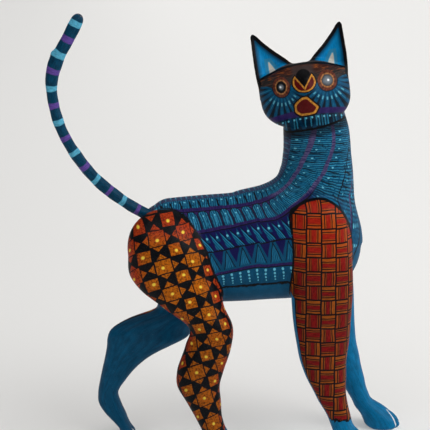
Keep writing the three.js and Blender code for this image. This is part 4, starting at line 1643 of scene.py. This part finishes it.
def hind_leg_finish(colours, sizes):
    """The hind legs: on the outer side a lattice of squares with triangles, on black, and else blue.

    Round each lattice point stands a square with a triangle on each side, and in each cell's middle
    a plain square, every one with a yellow dot.
    """
    paint = Paint(bpy.data.materials.new("hind_leg_paint"))
    around, height, turn, inward = leg_parts(paint)
    rim = paint.kept("rim", "Fac")
    drift_x, drift_z = wobble(paint, sizes.hand_wobble)
    p = (around + drift_x - LATTICE_MIDDLE[0]) / LATTICE_SCALE
    q = (height + drift_z - LATTICE_MIDDLE[1]) / LATTICE_SCALE
    column = polynomial(LATTICE_ALONG, p, q)
    row = polynomial(LATTICE_DOWN, p, q)
    streaks = paint.noise(0.9, 4.0)
    work = Brushwork(paint, BLACK_INK, streaks)
    work.lay(CHARCOAL_INK, streaks.rise(0.45, 0.75) * 0.7)

    edge_heat = abs(turn).rise(28, 78)
    top_heat = height.rise(146, 168) * 0.8
    mottle = paint.noise(0.75, 4.0, None, 0.65)
    for shift, seed in ((0.0, 1.0), (0.5, 2.0)):
        column_number = (column + shift + 0.5).floor()
        row_number = (row + shift + 0.5).floor()
        x = (column + shift - column_number) * LATTICE_SIDES[0]
        y = (row + shift - row_number) * LATTICE_SIDES[1]
        luck = paint.chance(column_number, row_number, seed)
        lean = (paint.chance(column_number, row_number, seed + 4) - 0.5) * 0.16
        x, y = x + y * lean, y - x * lean
        size = (luck - 0.5) * 0.9
        far, near = abs(x).most(abs(y)), abs(x).least(abs(y))
        heat = (edge_heat + top_heat + luck * 0.5 - 0.15).rise(0.1, 0.95)
        warm = paint.mix(heat, colours.amber, colours.brick)
        brown = paint.mix(heat, darker(colours.amber, 0.32), darker(colours.brick, 0.3))
        filled = paint.mix(mottle.rise(0.44, 0.62), warm, brown)
        half = (sizes.large_square if shift == 0.0 else sizes.small_square) / 2
        square = half + size * 0.5 - far
        work.lay(filled, square.inside(0.16), 0.05)
        if shift == 0.0:
            base = far - (half + 0.75)
            tip = (3.35 - base) - near * 1.12
            triangle = tip.least(base)
            work.lay(filled, triangle.inside(0.16), 0.05)
        else:
            work.lay(BLACK_INK, square.stroke(0.18))
        dot_x = x - (paint.chance(column_number, row_number, seed + 8) - 0.5) * 2.0
        dot_y = y - (paint.chance(column_number, row_number, seed + 12) - 0.5) * 2.2
        dot = 0.85 - dot_x.length_with(dot_y)
        work.lay(GOLD_INK, (dot + 0.35).inside(0.3) * square.inside(), 0.08)
        work.lay(colours.yellow, dot.inside(0.3) * square.inside(), 0.14)
    # Painted shade: the lattice is laid darker towards the bottom of the leg.
    work.lay(BLACK_INK, height.fall(70, 130) * 0.3)

    blue = darker(colours.plain_blue, HIND_BLUE_SHADE)
    inner = abs(turn).rise(HIND_INNER_TURN, HIND_INNER_TURN + 3).most(inward.rise(0.5, 0.6))
    plain_skin(paint, work, blue, inner, turn, height)
    work.lay(BLACK_INK, (abs(turn) - HIND_INNER_TURN).stroke(2.2, 0.8) * inward.fall(0.5, 0.6))
    ragged = paint.noise(0.35, 3.0) * 5
    paw_edge = HIND_PAW_TOP + (around - 8).most(HIND_PAW_SLANT_END) * 0.55 + ragged - height
    plain_skin(paint, work, blue, paw_edge.inside(0.4), turn, height)
    work.lay(BLACK_INK, rim.fall(0.9, 1.4), 0.04)
    work.lay(CLAW_INK, paint.kept("toe_line", "Fac").rise(0.5, 0.75), 0.05)
    return work.done(rubbed(paint, height.fall(0.5, 3.0)))


HIND_BLUE_SHADE = 0.8
FORE_BLUE_SHADE = 1.7
HIND_INNER_TURN = 112
HIND_PAW_TOP = 21
HIND_PAW_SLANT_END = -14


def foreleg_finish(colours, sizes):
    """The forelegs: on the outer side a basket weave, on the inner side and the paw plain blue.

    In a checkerboard of cells the three strands run level or upright by turns: a red one with orange
    edges between two orange ones.
    """
    paint = Paint(bpy.data.materials.new("foreleg_paint"))
    around, height, turn, inward = leg_parts(paint)
    rim = paint.kept("rim", "Fac")
    drift_x, drift_z = wobble(paint, sizes.hand_wobble * 0.8)
    x = around + drift_x - WEAVE_LEFT
    column = (x / sizes.weave_width).floor()
    stagger = (paint.chance(column, 7.0) - 0.5) * 1.8
    y = height + drift_z + stagger - WEAVE_LOW
    row = (y / sizes.weave_height).floor()
    cell_x = (x / sizes.weave_width - column - 0.5) * sizes.weave_width
    cell_y = (y / sizes.weave_height - row - 0.5) * sizes.weave_height
    level = ((column + row) * 0.5 - ((column + row) * 0.5).floor()).rise(0.2, 0.3)
    strand_across = cell_x + (cell_y - cell_x) * level
    strand_along = cell_y + (cell_x - cell_y) * level
    luck = paint.chance(column, row, 1.0)
    streaks = streaked(paint, strand_across, strand_along, 1.3, 4.5)

    across = abs(strand_across - (luck - 0.5) * 0.9)
    heart = 1.25 + 0.75 * luck
    red = paint.tones(streaks.rise(0.3, 0.7), colours.red, 0.55, 1.25)
    orange = paint.tones(streaks.rise(0.3, 0.75), colours.orange, 0.5)
    faded = paint.mix(luck * 0.5, orange, BRICK_INK)
    work = Brushwork(paint, faded, streaks)
    work.lay(BLACK_INK, (across - (heart + 1.15)).stroke(0.38, 0.2))
    work.lay(red, across.fall(heart - 0.2, heart + 0.2), 0.04)
    work.lay(BLACK_INK, (across - heart - 0.1).stroke(0.16, 0.16) * streaks.rise(0.3, 0.5))
    upper = height.rise(120, 165)
    reddened = paint.mix(streaks, colours.red, BRICK_INK)
    work.lay(reddened, upper * 0.45 * (1 - (across - (heart + 1.15)).stroke(0.38, 0.2)))
    edge = (abs(cell_x) - sizes.weave_width / 2).most(abs(cell_y) - sizes.weave_height / 2)
    work.lay(BLACK_INK, edge.rise(-0.72, -0.4))
    # Painted shade: the weave is laid darker below the leg's top, where the light falls.
    work.lay(BLACK_INK, (1 - upper) * 0.45)

    thin = streaked(paint, around, height, 1.0, 10.0)
    work.lay(BLACK_INK, thin.rise(0.62, 0.72) * 0.35)
    blue = darker(colours.plain_blue, FORE_BLUE_SHADE)
    lower = height.fall(FORE_INNER_TOP, FORE_INNER_TOP + 6)
    front_edge = turn - 106 + lower * 24
    back_edge = -turn - 104 + lower * 38
    inner = front_edge.rise(0, 3).most(back_edge.rise(0, 3)).most(inward.rise(0.5, 0.6))
    plain_skin(paint, work, blue, inner, turn, height)
    line = front_edge.stroke(1.6, 0.8).most(back_edge.stroke(1.6, 0.8))
    work.lay(BLACK_INK, line * inward.fall(0.5, 0.6))
    ragged = paint.noise(0.4, 3.0) * 6
    paw_edge = FORE_PAW_TOP + ragged - height
    work.lay(BLACK_INK, (paw_edge + 1.6).inside(0.4) * (1 - inner))
    plain_skin(paint, work, blue, paw_edge.inside(0.3), turn, height)
    work.lay(BLACK_INK, rim.fall(0.6, 1.0), 0.04)
    work.lay(CLAW_INK, paint.kept("toe_line", "Fac").rise(0.5, 0.75), 0.05)
    return work.done(rubbed(paint, height.fall(0.5, 3.0)))


WEAVE_LEFT = 38.8
WEAVE_LOW = 14.8
FORE_INNER_TOP = 112
FORE_PAW_TOP = 22.5


def head_finish(colours, sizes):
    """The head: eyes, nose, lips and mouth seen from the front, a brown mask, and striped blue cheeks.

    The kept head place is right, back and up; the painter's view from the front is right and up with
    a small share of back, so that the features stand as the painter saw them.
    """
    paint = Paint(bpy.data.materials.new("head_paint"))
    right, back, up = paint.numbers(paint.kept("head_place"))
    rim = paint.kept("rim", "Fac")
    ear_edge, ear_zone, ear_facing = paint.numbers(paint.kept("ear_place"))
    drift_x, drift_y = wobble(paint, sizes.hand_wobble * 0.5, 0.2)
    across = right - back * 0.061 - 0.3 + drift_x
    rise = up - back * 0.0103 - FACE_LEVEL + drift_y
    side = abs(across)
    front = back.fall(-3, 3)
    squeezed = 1 + across.fall(-1, 1) * LEFT_EYE_SQUEEZE
    eye_x = (side - EYE_APART) * squeezed
    eye_reach = eye_x.length_with(rise)
    eye_angle = rise.angle_over(eye_x)

    # Cheeks: blue, with lines running away from the eyes.
    streaks = streaked(paint, eye_angle * 9.0, eye_reach, 0.8, 5.0)
    blue = paint.tones(streaks.rise(0.25, 0.75), colours.teal, 0.4, 1.05)
    work = Brushwork(paint, blue, streaks)
    spoke, offset = (eye_angle * SPOKE_RADIUS).cells(sizes.cheek_spoke)
    spoke_line = offset * (eye_reach / SPOKE_RADIUS)
    strength = paint.chance(spoke, 2.0)
    work.lay(BLACK_INK, (sizes.cheek_spoke / 2 - abs(spoke_line)).fall(0.1, 0.5) * front * 0.85)
    pale = spoke_line.stroke(0.22, 0.2) * eye_reach.within(8.0, 17.5, 1.0) * strength * 0.7
    work.lay(PALE_TEAL_INK, pale * front, 0.04)
    dash_length = 0.9 + strength * 0.5
    dash = spoke_line.stroke(0.45, 0.2) * (abs(eye_reach - 11.8) - dash_length).fall(-0.3, 0.3)
    work.lay(darker(DOT_INK, 0.75), dash * front * rise.fall(-7.5, -5.5), 0.12)

    # A purple band under the cheeks, then the chin's strokes and dots on a dark ground that is a painted
    # shadow under the chin.
    hem = rise + side * side * 0.004
    purple = paint.mix(streaks, darker(colours.indigo, 0.8), PURPLE_INK)
    work.lay(purple, hem.within(-21.0, -17.0, 0.6) * front)
    chin = hem.fall(-21.3, -20.7) * front
    number, offset = (across * 1.0).cells(1.9)
    luck = paint.chance(number, 6.0)
    # Painted shadow: the chin's ground is laid dark.
    work.lay(darker(DEEP_TEAL_INK, 0.7), chin * 0.6)
    length = hem.within(-29.0, -21.8, 0.5)
    work.lay(PALE_TEAL_INK, chin * offset.stroke(0.4, 0.3) * luck.rise(0.3, 0.6) * length * 0.8, 0.06)
    _, offset = across.cells(4.0)
    work.dot(offset, hem + 22.8, 0.62, chin)

    # The back of the head: rows of strokes with dots, like the neck.
    behind = back.rise(-1, 5) * (1 - ear_zone)
    turn = right.angle_over(back) * 26.0
    row, down = (up * -1.0 + 60.0).cells(7.0)
    work.lay(paint.tones(streaks, colours.teal, 0.45, 1.2), behind)
    hatching(paint, work, turn, down, 1.5, behind)
    work.lay(paint.mix(streaks, colours.indigo, PURPLE_INK), behind * (abs(down) - 2.6).rise(0.0, 0.4))
    _, offset = (turn + row * 2.3).cells(5.4)
    work.dot(offset, down + 1.2, 0.6, behind, 0.1)

    # The mask: from the brow line down round the eyes, greyed brown with orange streaks.
    brow = rise - (13.45 - across * across * 0.0077)
    bell = (eye_x / 6.0) * (eye_x / 6.0)
    mask_edge = rise - 2.0 + 8.8 * (0.0 - bell).math("EXPONENT")
    mask = mask_edge.inside(0.3) * (-brow).inside(0.2) * back.fall(6, 10)
    hair = streaked(paint, rise - across * 0.12, across, 1.0, 6.0)
    greyed = paint.tones(hair.rise(0.3, 0.7), ASH_INK, 0.2, 0.65)
    browned = paint.tones(hair.rise(0.25, 0.7), BROWN_INK, 0.12, 0.4)
    fur = paint.mix((rise - side * 0.12).rise(2.5, 9.0), greyed, browned)
    work.lay(fur, mask)
    near_brow = (rise - 9 + side * 0.22).rise(-3, 2) * side.rise(5, 10)
    work.lay(darker(RUST_INK, 0.7), mask * hair.rise(0.54, 0.66) * near_brow, 0.04)
    muzzle = side.fall(5.5, 9.0) * rise.within(-1.0, 12.0, 1.5)
    work.lay(darker(ASH_INK, 0.7), muzzle * mask * 0.7)

    # Ears: black rims, nested blue triangles, and a cream one at the base.
    ear_front = brow.inside(0.2) * back.fall(5.5, 6.5) * (up - 12).rise(0, 1)
    ear_front = ear_front * (1 - ear_zone * ear_facing.rise(-0.1, 0.1))
    hollow = (ear_edge - 2.2).rise(0.0, 3.5)
    ear_streaks = streaked(paint, side, rise, 1.1, 7.0)
    ear_blue = paint.tones(hollow, colours.ear_blue, 0.18)
    ear_blue = paint.mix(ear_streaks.rise(0.4, 0.8) * 0.5, ear_blue, darker(colours.teal, 0.9))
    work.lay(ear_blue, ear_front)
    tip_line = (17.8 - rise) * 0.97
    left = (side - 17.4 - (rise - 11.0) * 0.62) * 0.85
    leaning = 22.2 - side
    cream = tip_line.least(left).least(leaning)
    work.lay(darker(SKY_INK, 0.5), ear_front * (cream + 2.1).inside(0.3) * 0.6)
    work.lay(PALE_TEAL_INK, ear_front * (cream + 2.3).stroke(0.3, 0.25) * 0.8)
    work.lay(darker(SKY_INK, 0.75), ear_front * (cream + 0.5).inside(0.3))
    work.lay(CREAM_INK, ear_front * cream.inside(0.25), 0.05)
    # Painted highlight: the crown between the ears is laid light grey.
    crown_highlight = ear_front * (1 - ear_zone)
    work.lay(paint.tones(streaks, ASH_INK, 0.4, 1.3), crown_highlight)
    ear_back = ear_zone * ear_facing.rise(-0.1, 0.1)
    work.lay(paint.tones(ear_streaks, colours.ear_blue, 0.25, 0.9), ear_back)
    _, offset = (rise - side * 0.3).cells(5.0)
    _, offset_across = (side + rise * 0.4).cells(5.0)
    work.dot(offset, offset_across, 0.6, ear_back * ear_edge.rise(3.0, 3.4), 0.1)
    work.lay(BLACK_INK, ear_zone * ear_edge.fall(2.1, 2.7), 0.04)
    work.lay(BLACK_INK, brow.stroke(0.75, 0.25) * back.fall(6, 10) * (up - 10).rise(0, 1), 0.04)

    # Eyes: glossy black, with a tan ring and a brown one, a painted grey sheen in each pupil that is wider in
    # the right one, and a painted glint.
    oval = eye_x.length_with(rise * 0.95)
    iris = paint.noise(1.0, 3.0, paint.vector(eye_angle * 4.0, eye_reach * 0.3))
    work.lay(BLACK_INK, front * oval.fall(7.0, 7.3) * rise.fall(-1.0, 1.5) * 0.8)
    browned = paint.tones(iris.rise(0.3, 0.7), BROWN_INK, 0.3, 0.8)
    work.lay(browned, front * oval.fall(6.3, 6.7), 0.05)
    tan = paint.tones(iris.rise(0.3, 0.7), TAN_INK, 0.35, 0.85)
    work.lay(tan, front * oval.fall(4.5, 4.9), 0.07)
    pupil = oval.fall(3.6, 3.9)
    # Painted sheen: grey over the pupil's middle, reaching further in the right eye.
    sheen_reach = across.rise(-1, 1) * 2.4 + 2.6
    pupil_sheen = paint.mix(eye_reach.rise(0.8, sheen_reach), PUPIL_SHEEN_INK, PUPIL_INK)
    work.lay(pupil_sheen, front * pupil, 0.12)
    glint = 0.75 - (eye_x * 1.0 - 0.6).length_with(rise - 0.1)
    work.lay(GLINT_INK, front * glint.inside(0.3), 0.05)

    # Nose: black, rounded above and pointed below.
    lower_side = ((rise + 1.9) / 7.6).most(0.0) ** 0.8
    upper_side = (1 - ((rise - 5.7) / 4.0).most(0.0) ** 2.0).most(0.0).root()
    nose = lower_side.least(upper_side) * 4.6 - side

    # Lips: two red lobes edged with gold under the nose.
    lobe = (1 - (across / 7.6).length_with((rise - 1.1) / 6.7)) * 6.8
    lip = lobe.least((side * 1.5 - (rise + 2.6)) * 0.55)
    work.lay(BLACK_INK, front * (lip + 0.7).inside(0.25))
    gold = paint.tones(paint.noise(0.8, 3.0).rise(0.35, 0.65), colours.gold, 0.55)
    work.lay(gold, front * lip.inside(0.2), 0.1)
    wine = paint.tones(paint.noise(1.1, 3.0), colours.wine, 0.6, 1.5)
    work.lay(wine, front * (lip - 0.95).inside(0.25), 0.0)
    work.lay(NOSE_INK, front * nose.inside(0.2), 0.12)

    # Mouth: a rounded seven-sided patch, red with a gold edge, outlined in black.
    mouth = None
    for slope_x, slope_y, reach in MOUTH_SIDES:
        depth = reach - ((across - MOUTH_MIDDLE[0]) * slope_x + (rise - MOUTH_MIDDLE[1]) * slope_y)
        mouth = depth if mouth is None else mouth.math("SMOOTH_MIN", depth, 1.6)
    work.lay(BLACK_INK, front * (mouth + 1.0).inside(0.25))
    work.lay(gold, front * mouth.inside(0.2), 0.12)
    work.lay(wine, front * (mouth - 1.35).inside(0.25), 0.0)

    # Painted shade: the head's underside, towards the neck, is laid darker.
    underside = (up + 24 - back * 0.2).fall(-3.0, 1.0)
    work.lay(DEEP_TEAL_INK, underside * 0.6)
    work.lay(BLACK_INK, rim.fall(0.6, 1.0), 0.04)
    edges = ear_zone * ear_edge.fall(0.2, 0.9)
    return work.done(rubbed(paint, edges))


FACE_LEVEL = 7.5
EYE_APART = 15.5
LEFT_EYE_SQUEEZE = 0.14  # the eye at the viewer's left is painted narrower
SPOKE_RADIUS = 11.8
MOUTH_MIDDLE = (-1.0, -15.1)
# Sides of the mouth: the outward direction across and up, and the distance from its middle in mm.
MOUTH_SIDES = (
    (0.733, 0.679, 5.4),
    (0.797, -0.605, 7.9),
    (0.05, -1.0, 5.9),
    (-0.663, -0.749, 7.2),
    (-1.0, 0.04, 7.5),
    (-0.598, 0.801, 6.3),
    (0.0, 1.0, 6.4),
)


def tail_finish(colours, sizes):
    """The tail: deep teal with light blue and violet rings by turns, painted a little aslant."""
    paint = Paint(bpy.data.materials.new("tail_paint"))
    along, around, _ = paint.numbers(paint.kept("stick_place"))
    drift, sway = wobble(paint, 1.6, 0.16)
    streaks = streaked(paint, around * 0.12, along, 1.0, 4.0)
    ground = paint.tones(streaks.rise(0.3, 0.75), colours.tail_ground, 0.55, 1.2)
    work = Brushwork(paint, ground, streaks)
    aslant = (around * (math.pi / 180)).sine() * 0.5
    number, offset = (FIRST_RING - along + drift + aslant + sizes.ring_pitch / 2).cells(sizes.ring_pitch)
    half = 1.55 + (paint.chance(number, 1.0) - 0.5) * 0.6 + sway * 0.2 + along * 0.004
    ring = (half - abs(offset)).inside(0.25)
    odd = (number * 0.5 - (number * 0.5).floor()).rise(0.2, 0.3)
    thick = streaked(paint, along, around * 0.12, 1.2, 5.0)
    sky = paint.tones(thick.rise(0.3, 0.7), colours.ring_sky, 0.6)
    violet = paint.tones(thick.rise(0.3, 0.7), colours.ring_violet, 0.6)
    work.lay(paint.mix(odd, sky, violet), ring, 0.14)
    return work.done(rubbed(paint, along.rise(166, 169)))


FIRST_RING = 162.9  # the uppermost ring's place along the stick, in mm from the rump


CAMERA_DISTANCE = 1050
CAMERA_ELEVATION = math.radians(12)
CAMERA_AZIMUTH = math.radians(-5)
CAMERA_AIM = np.array([0.0, 0.0, 166.0])
SENSOR_WIDTH = 36
PICTURE_SIZE = 430  # the photograph's side in pixels
PIXEL_AT_AIM = 0.69  # millimetres of the drawing in one pixel, at the aim
FLOOR_SIZE = 24
FLOOR_ROUGHNESS = 0.85
FLOOR_PAINTED_GLOW = 0.42  # the floor glows, a painted light that keeps the shadows on it pale
FLOOR_FALL_OFF = (-420, 320)  # the floor's tone, a painted fall-off of the light, rises from left to right between these places in mm
FLOOR_SHADED_LEFT = 0.84  # the floor's tone at the left, in painted shade
FLOOR_FIBRE = (0.8, 0.06)  # how dark the paper's fibres are, and how strong
FIBRE_FINENESS = 0.5
NEAREST_SEEN = 0.05
FURTHEST_SEEN = 40
SUN_STRENGTH = 0.2

# Soft lights: azimuth and elevation in degrees, brightness, and the cosines at their edge and middle.
SOFT_LIGHTS = (
    (52, 38, 2.7, 0.86, 0.97),
    (-32, 48, 1.2, 0.84, 0.97),
    (97, 15, 1.5, 0.82, 0.95),
)
OVERHEAD_LIGHT = 0.3
EYE_LEVEL_LIGHT = 0.1
SUN_ANGLE = math.radians(35)


def heading(azimuth, elevation):
    """The direction from the figure to a place round it, azimuth 0 being the side that it faces."""
    return Vector((
        math.sin(azimuth) * math.cos(elevation),
        -math.cos(azimuth) * math.cos(elevation),
        math.sin(elevation),
    ))


def light_studio(strength):
    """The surroundings: dim at eye level, brighter overhead, with broad soft lights round the figure."""
    sky = Paint(bpy.data.worlds.new("studio"), "Generated", 1.0)
    _, _, up = sky.numbers(sky.place)
    level = up.rise(0.1, 0.95) * OVERHEAD_LIGHT + EYE_LEVEL_LIGHT
    for azimuth, elevation, light, edge, middle in SOFT_LIGHTS:
        towards = heading(math.radians(azimuth), math.radians(elevation))
        facing = sky.vector_math("DOT_PRODUCT", sky.place, {1: tuple(towards)}, "Value")
        level = level + facing.rise(edge, middle) * light
    light = {"Color": opaque(WHITE), "Strength": level * strength}
    background = sky.add("ShaderNodeBackground", None, light)
    return sky.shown(background, "ShaderNodeOutputWorld")


def photo_camera(scene):
    """The camera at the photograph's angle and distance, with the lens that gives its scale."""
    aim = Vector((CAMERA_AIM + SHIFT) * GROW * MM)
    back = heading(CAMERA_AZIMUTH, CAMERA_ELEVATION)
    camera = bpy.data.objects.new("camera", bpy.data.cameras.new("camera"))
    scene.collection.objects.link(camera)
    camera.location = aim + back * CAMERA_DISTANCE * GROW * MM
    camera.rotation_mode = "QUATERNION"
    camera.rotation_quaternion = (-back).to_track_quat("-Z", "Y")
    camera.data.sensor_width = SENSOR_WIDTH
    camera.data.lens = SENSOR_WIDTH * CAMERA_DISTANCE / (PIXEL_AT_AIM * PICTURE_SIZE)
    camera.data.clip_start = NEAREST_SEEN
    camera.data.clip_end = FURTHEST_SEEN
    scene.camera = camera


def paper_floor(floor_colour):
    """The floor: pale paper, a little dimmer at the left as painted shade, that glows as painted light so
    that its shadows stay pale.
    """
    bpy.ops.mesh.primitive_plane_add(size=FLOOR_SIZE)
    floor = bpy.context.object
    floor.name = "floor"
    paper = Paint(bpy.data.materials.new("floor_paper"))
    across, _, _ = paper.numbers(paper.place)
    # Painted shade: the paper is laid dimmer towards the left.
    lit = paper.tones(across.rise(*FLOOR_FALL_OFF), floor_colour, FLOOR_SHADED_LEFT)
    dark, strength = FLOOR_FIBRE
    tone = paper.mix(paper.noise(FIBRE_FINENESS) * strength, lit, darker(floor_colour, dark))
    surface = paper.add("ShaderNodeBsdfPrincipled", None, {
        "Base Color": tone,
        "Roughness": FLOOR_ROUGHNESS,
        "Specular IOR Level": 0.0,
        # Painted light: the paper glows, so that its shadows stay pale.
        "Emission Color": tone,
        "Emission Strength": FLOOR_PAINTED_GLOW,
    })
    floor.data.materials.append(paper.shown(surface))


def key_light(scene, strength):
    """A broad sun from the side of the first soft light."""
    sun = bpy.data.lights.new("key", "SUN")
    sun.angle = SUN_ANGLE
    sun.energy = SUN_STRENGTH * strength
    lamp = bpy.data.objects.new("key", sun)
    scene.collection.objects.link(lamp)
    azimuth, elevation = (math.radians(turn) for turn in SOFT_LIGHTS[0][:2])
    towards = heading(azimuth, elevation)
    lamp.location = towards
    lamp.rotation_mode = "QUATERNION"
    lamp.rotation_quaternion = (-towards).to_track_quat("-Z", "Y")


def length(value, name, description):
    """A length in metres for the sidebar."""
    return FloatProperty(name=name, description=description, default=value * MM, unit="LENGTH", precision=4)


def colour(value, name, description):
    """A colour for the sidebar."""
    return FloatVectorProperty(
        name=name, description=description, default=value, size=3, min=0, max=1, subtype="COLOR",
    )


class CatSizes(bpy.types.PropertyGroup):
    """Lengths of the carving and of its painted pattern."""

    voxel: length(1.35, "Skin step", "Side of the voxels that the carved forms are fused with")
    knife_marks: length(0.06, "Knife marks", "How far the whittled skin waves in and out")
    hand_wobble: length(1.3, "Hand wobble", "How far the painted lines stray from the drawn pattern")
    block_pitch: length(7.4, "Block pitch", "Length of one rounded block on the back")
    triangle_pitch: length(7.0, "Triangle pitch", "Length of one leaning triangle on the flank")
    dot_pitch: length(5.8, "Dot pitch", "Distance between two columns of dots over the belly")
    weave_width: length(10.1, "Weave width", "Width of one cell of the foreleg's basket weave")
    weave_height: length(9.85, "Weave height", "Height of one cell of the foreleg's basket weave")
    large_square: length(9.5, "Large square", "Side of the hind leg's squares that carry triangles")
    small_square: length(7.8, "Small square", "Side of the hind leg's plain squares")
    cheek_spoke: length(3.1, "Cheek lines", "Distance between two lines on the cheek")
    ring_pitch: length(11.75, "Ring pitch", "Distance between two rings on the tail")


class CatColours(bpy.types.PropertyGroup):
    """The paints."""

    teal: colour(TEAL_INK, "Teal", "Ground colour of the coat and the cheeks")
    indigo: colour(INDIGO_INK, "Indigo", "Dark blue between the coat's triangles")
    plain_blue: colour(PLAIN_BLUE_INK, "Plain blue", "Paws, belly and the inner sides of the legs")
    ear_blue: colour(EAR_BLUE_INK, "Ear blue", "Bright blue inside the ears")
    amber: colour(AMBER_INK, "Amber", "Middle squares of the hind leg")
    brick: colour(BRICK_INK, "Brick", "Outer squares of the hind leg")
    yellow: colour(YELLOW_INK, "Yellow", "Dots of the hind leg")
    red: colour(RED_INK, "Red", "Middle strands of the foreleg's weave")
    orange: colour(ORANGE_INK, "Orange", "Side strands of the foreleg's weave")
    gold: colour(GOLD_INK, "Gold", "Edges of the lips and the mouth")
    wine: colour(WINE_INK, "Wine", "Lips and mouth")
    tail_ground: colour(TAIL_BLUE_INK, "Tail blue", "Ground colour of the tail")
    ring_sky: colour(SKY_INK, "Light ring", "Light blue rings of the tail")
    ring_violet: colour(VIOLET_INK, "Violet ring", "Violet rings of the tail")


class CatStage(bpy.types.PropertyGroup):
    """The studio."""

    light: FloatProperty(name="Light", description="Strength of all lights", default=1.0, min=0)
    floor: colour(FLOOR_TONE, "Floor", "Colour of the floor's paper")


def in_mm(group):
    """A property group's lengths in millimetres, by name."""
    return SimpleNamespace(**{name: getattr(group, name) / MM for name in group.__annotations__})


class CAT_OT_body(bpy.types.Operator):
    """Carves the cat in one piece and paints it"""

    bl_idname = "cat.body"
    bl_label = "Carved body"

    def execute(self, context):
        sizes = in_mm(context.scene.cat_sizes)
        colours = context.scene.cat_colours
        mesh = bored(fused_body(sizes.voxel))
        points = points_of(mesh)
        distances, normals = measure_forms(points)
        _, outward = flowing_union(distances, normals)
        points = hollow_ears(points, distances)
        places = paint_places(points, outward)
        points, toe_line = cut_toes(points)
        put_points(mesh, whittle(points, outward, sizes.knife_marks, WHITTLE_SEED))
        write_attribute(mesh, "toe_line", toe_line)
        for name in ("rim", "coat_place", "leg_place", "head_place", "ear_place", "chin_shade", "leg_inward"):
            write_attribute(mesh, name, places[name])
        mesh.polygons.foreach_set("material_index", face_finishes(mesh, places["zones"]))
        for paint_zone in (coat_finish, hind_leg_finish, foreleg_finish, head_finish):
            mesh.materials.append(paint_zone(colours, sizes))
        finished_piece(mesh, "carved_body", "cat_body")
        return {"FINISHED"}


class CAT_OT_tail(bpy.types.Operator):
    """Whittles the tail's stick and paints its rings"""

    bl_idname = "cat.tail"
    bl_label = "Stick tail"

    def execute(self, context):
        points, quads, caps, along, around = tail_surface()
        stick = object_from("stick", points, [quads, caps])
        mesh = stick.data
        bpy.data.objects.remove(stick)
        write_attribute(mesh, "stick_place", np.column_stack([along, around, np.zeros(len(along))]))
        mesh.materials.append(tail_finish(context.scene.cat_colours, in_mm(context.scene.cat_sizes)))
        finished_piece(mesh, "stick_tail", "tail")
        return {"FINISHED"}


class CAT_OT_stage(bpy.types.Operator):
    """Sets the plain floor, the soft lights and the camera"""

    bl_idname = "cat.stage"
    bl_label = "Stage"

    def execute(self, context):
        scene = context.scene
        photo_camera(scene)
        paper_floor(scene.cat_stage.floor)
        key_light(scene, scene.cat_stage.light)
        scene.world = light_studio(scene.cat_stage.light)
        scene.view_settings.view_transform = "Standard"
        return {"FINISHED"}


class CAT_PT_sidebar(bpy.types.Panel):
    """Sizes, paints and the steps that build the cat"""

    bl_idname = "CAT_PT_sidebar"
    bl_label = "Painted wooden cat"
    bl_space_type = "VIEW_3D"
    bl_region_type = "UI"
    bl_category = "Cat"

    def draw(self, context):
        scene = context.scene
        for title, group in (
            ("Sizes", scene.cat_sizes),
            ("Paints", scene.cat_colours),
            ("Studio", scene.cat_stage),
        ):
            box = self.layout.box()
            box.label(text=title)
            for name in group.__annotations__:
                box.prop(group, name)
        for operator in (CAT_OT_body, CAT_OT_tail, CAT_OT_stage):
            self.layout.operator(operator.bl_idname)


GROUPS = {"cat_sizes": CatSizes, "cat_colours": CatColours, "cat_stage": CatStage}
CLASSES = (*GROUPS.values(), CAT_OT_body, CAT_OT_tail, CAT_OT_stage, CAT_PT_sidebar)


def register():
    for item in CLASSES:
        bpy.utils.register_class(item)
    for name, group in GROUPS.items():
        setattr(bpy.types.Scene, name, PointerProperty(type=group))


def unregister():
    for name in GROUPS:
        delattr(bpy.types.Scene, name)
    for item in reversed(CLASSES):
        bpy.utils.unregister_class(item)


def main():
    register()
    bpy.ops.cat.body()
    bpy.ops.cat.tail()
    bpy.ops.cat.stage()


if __name__ == "__main__":
    main()
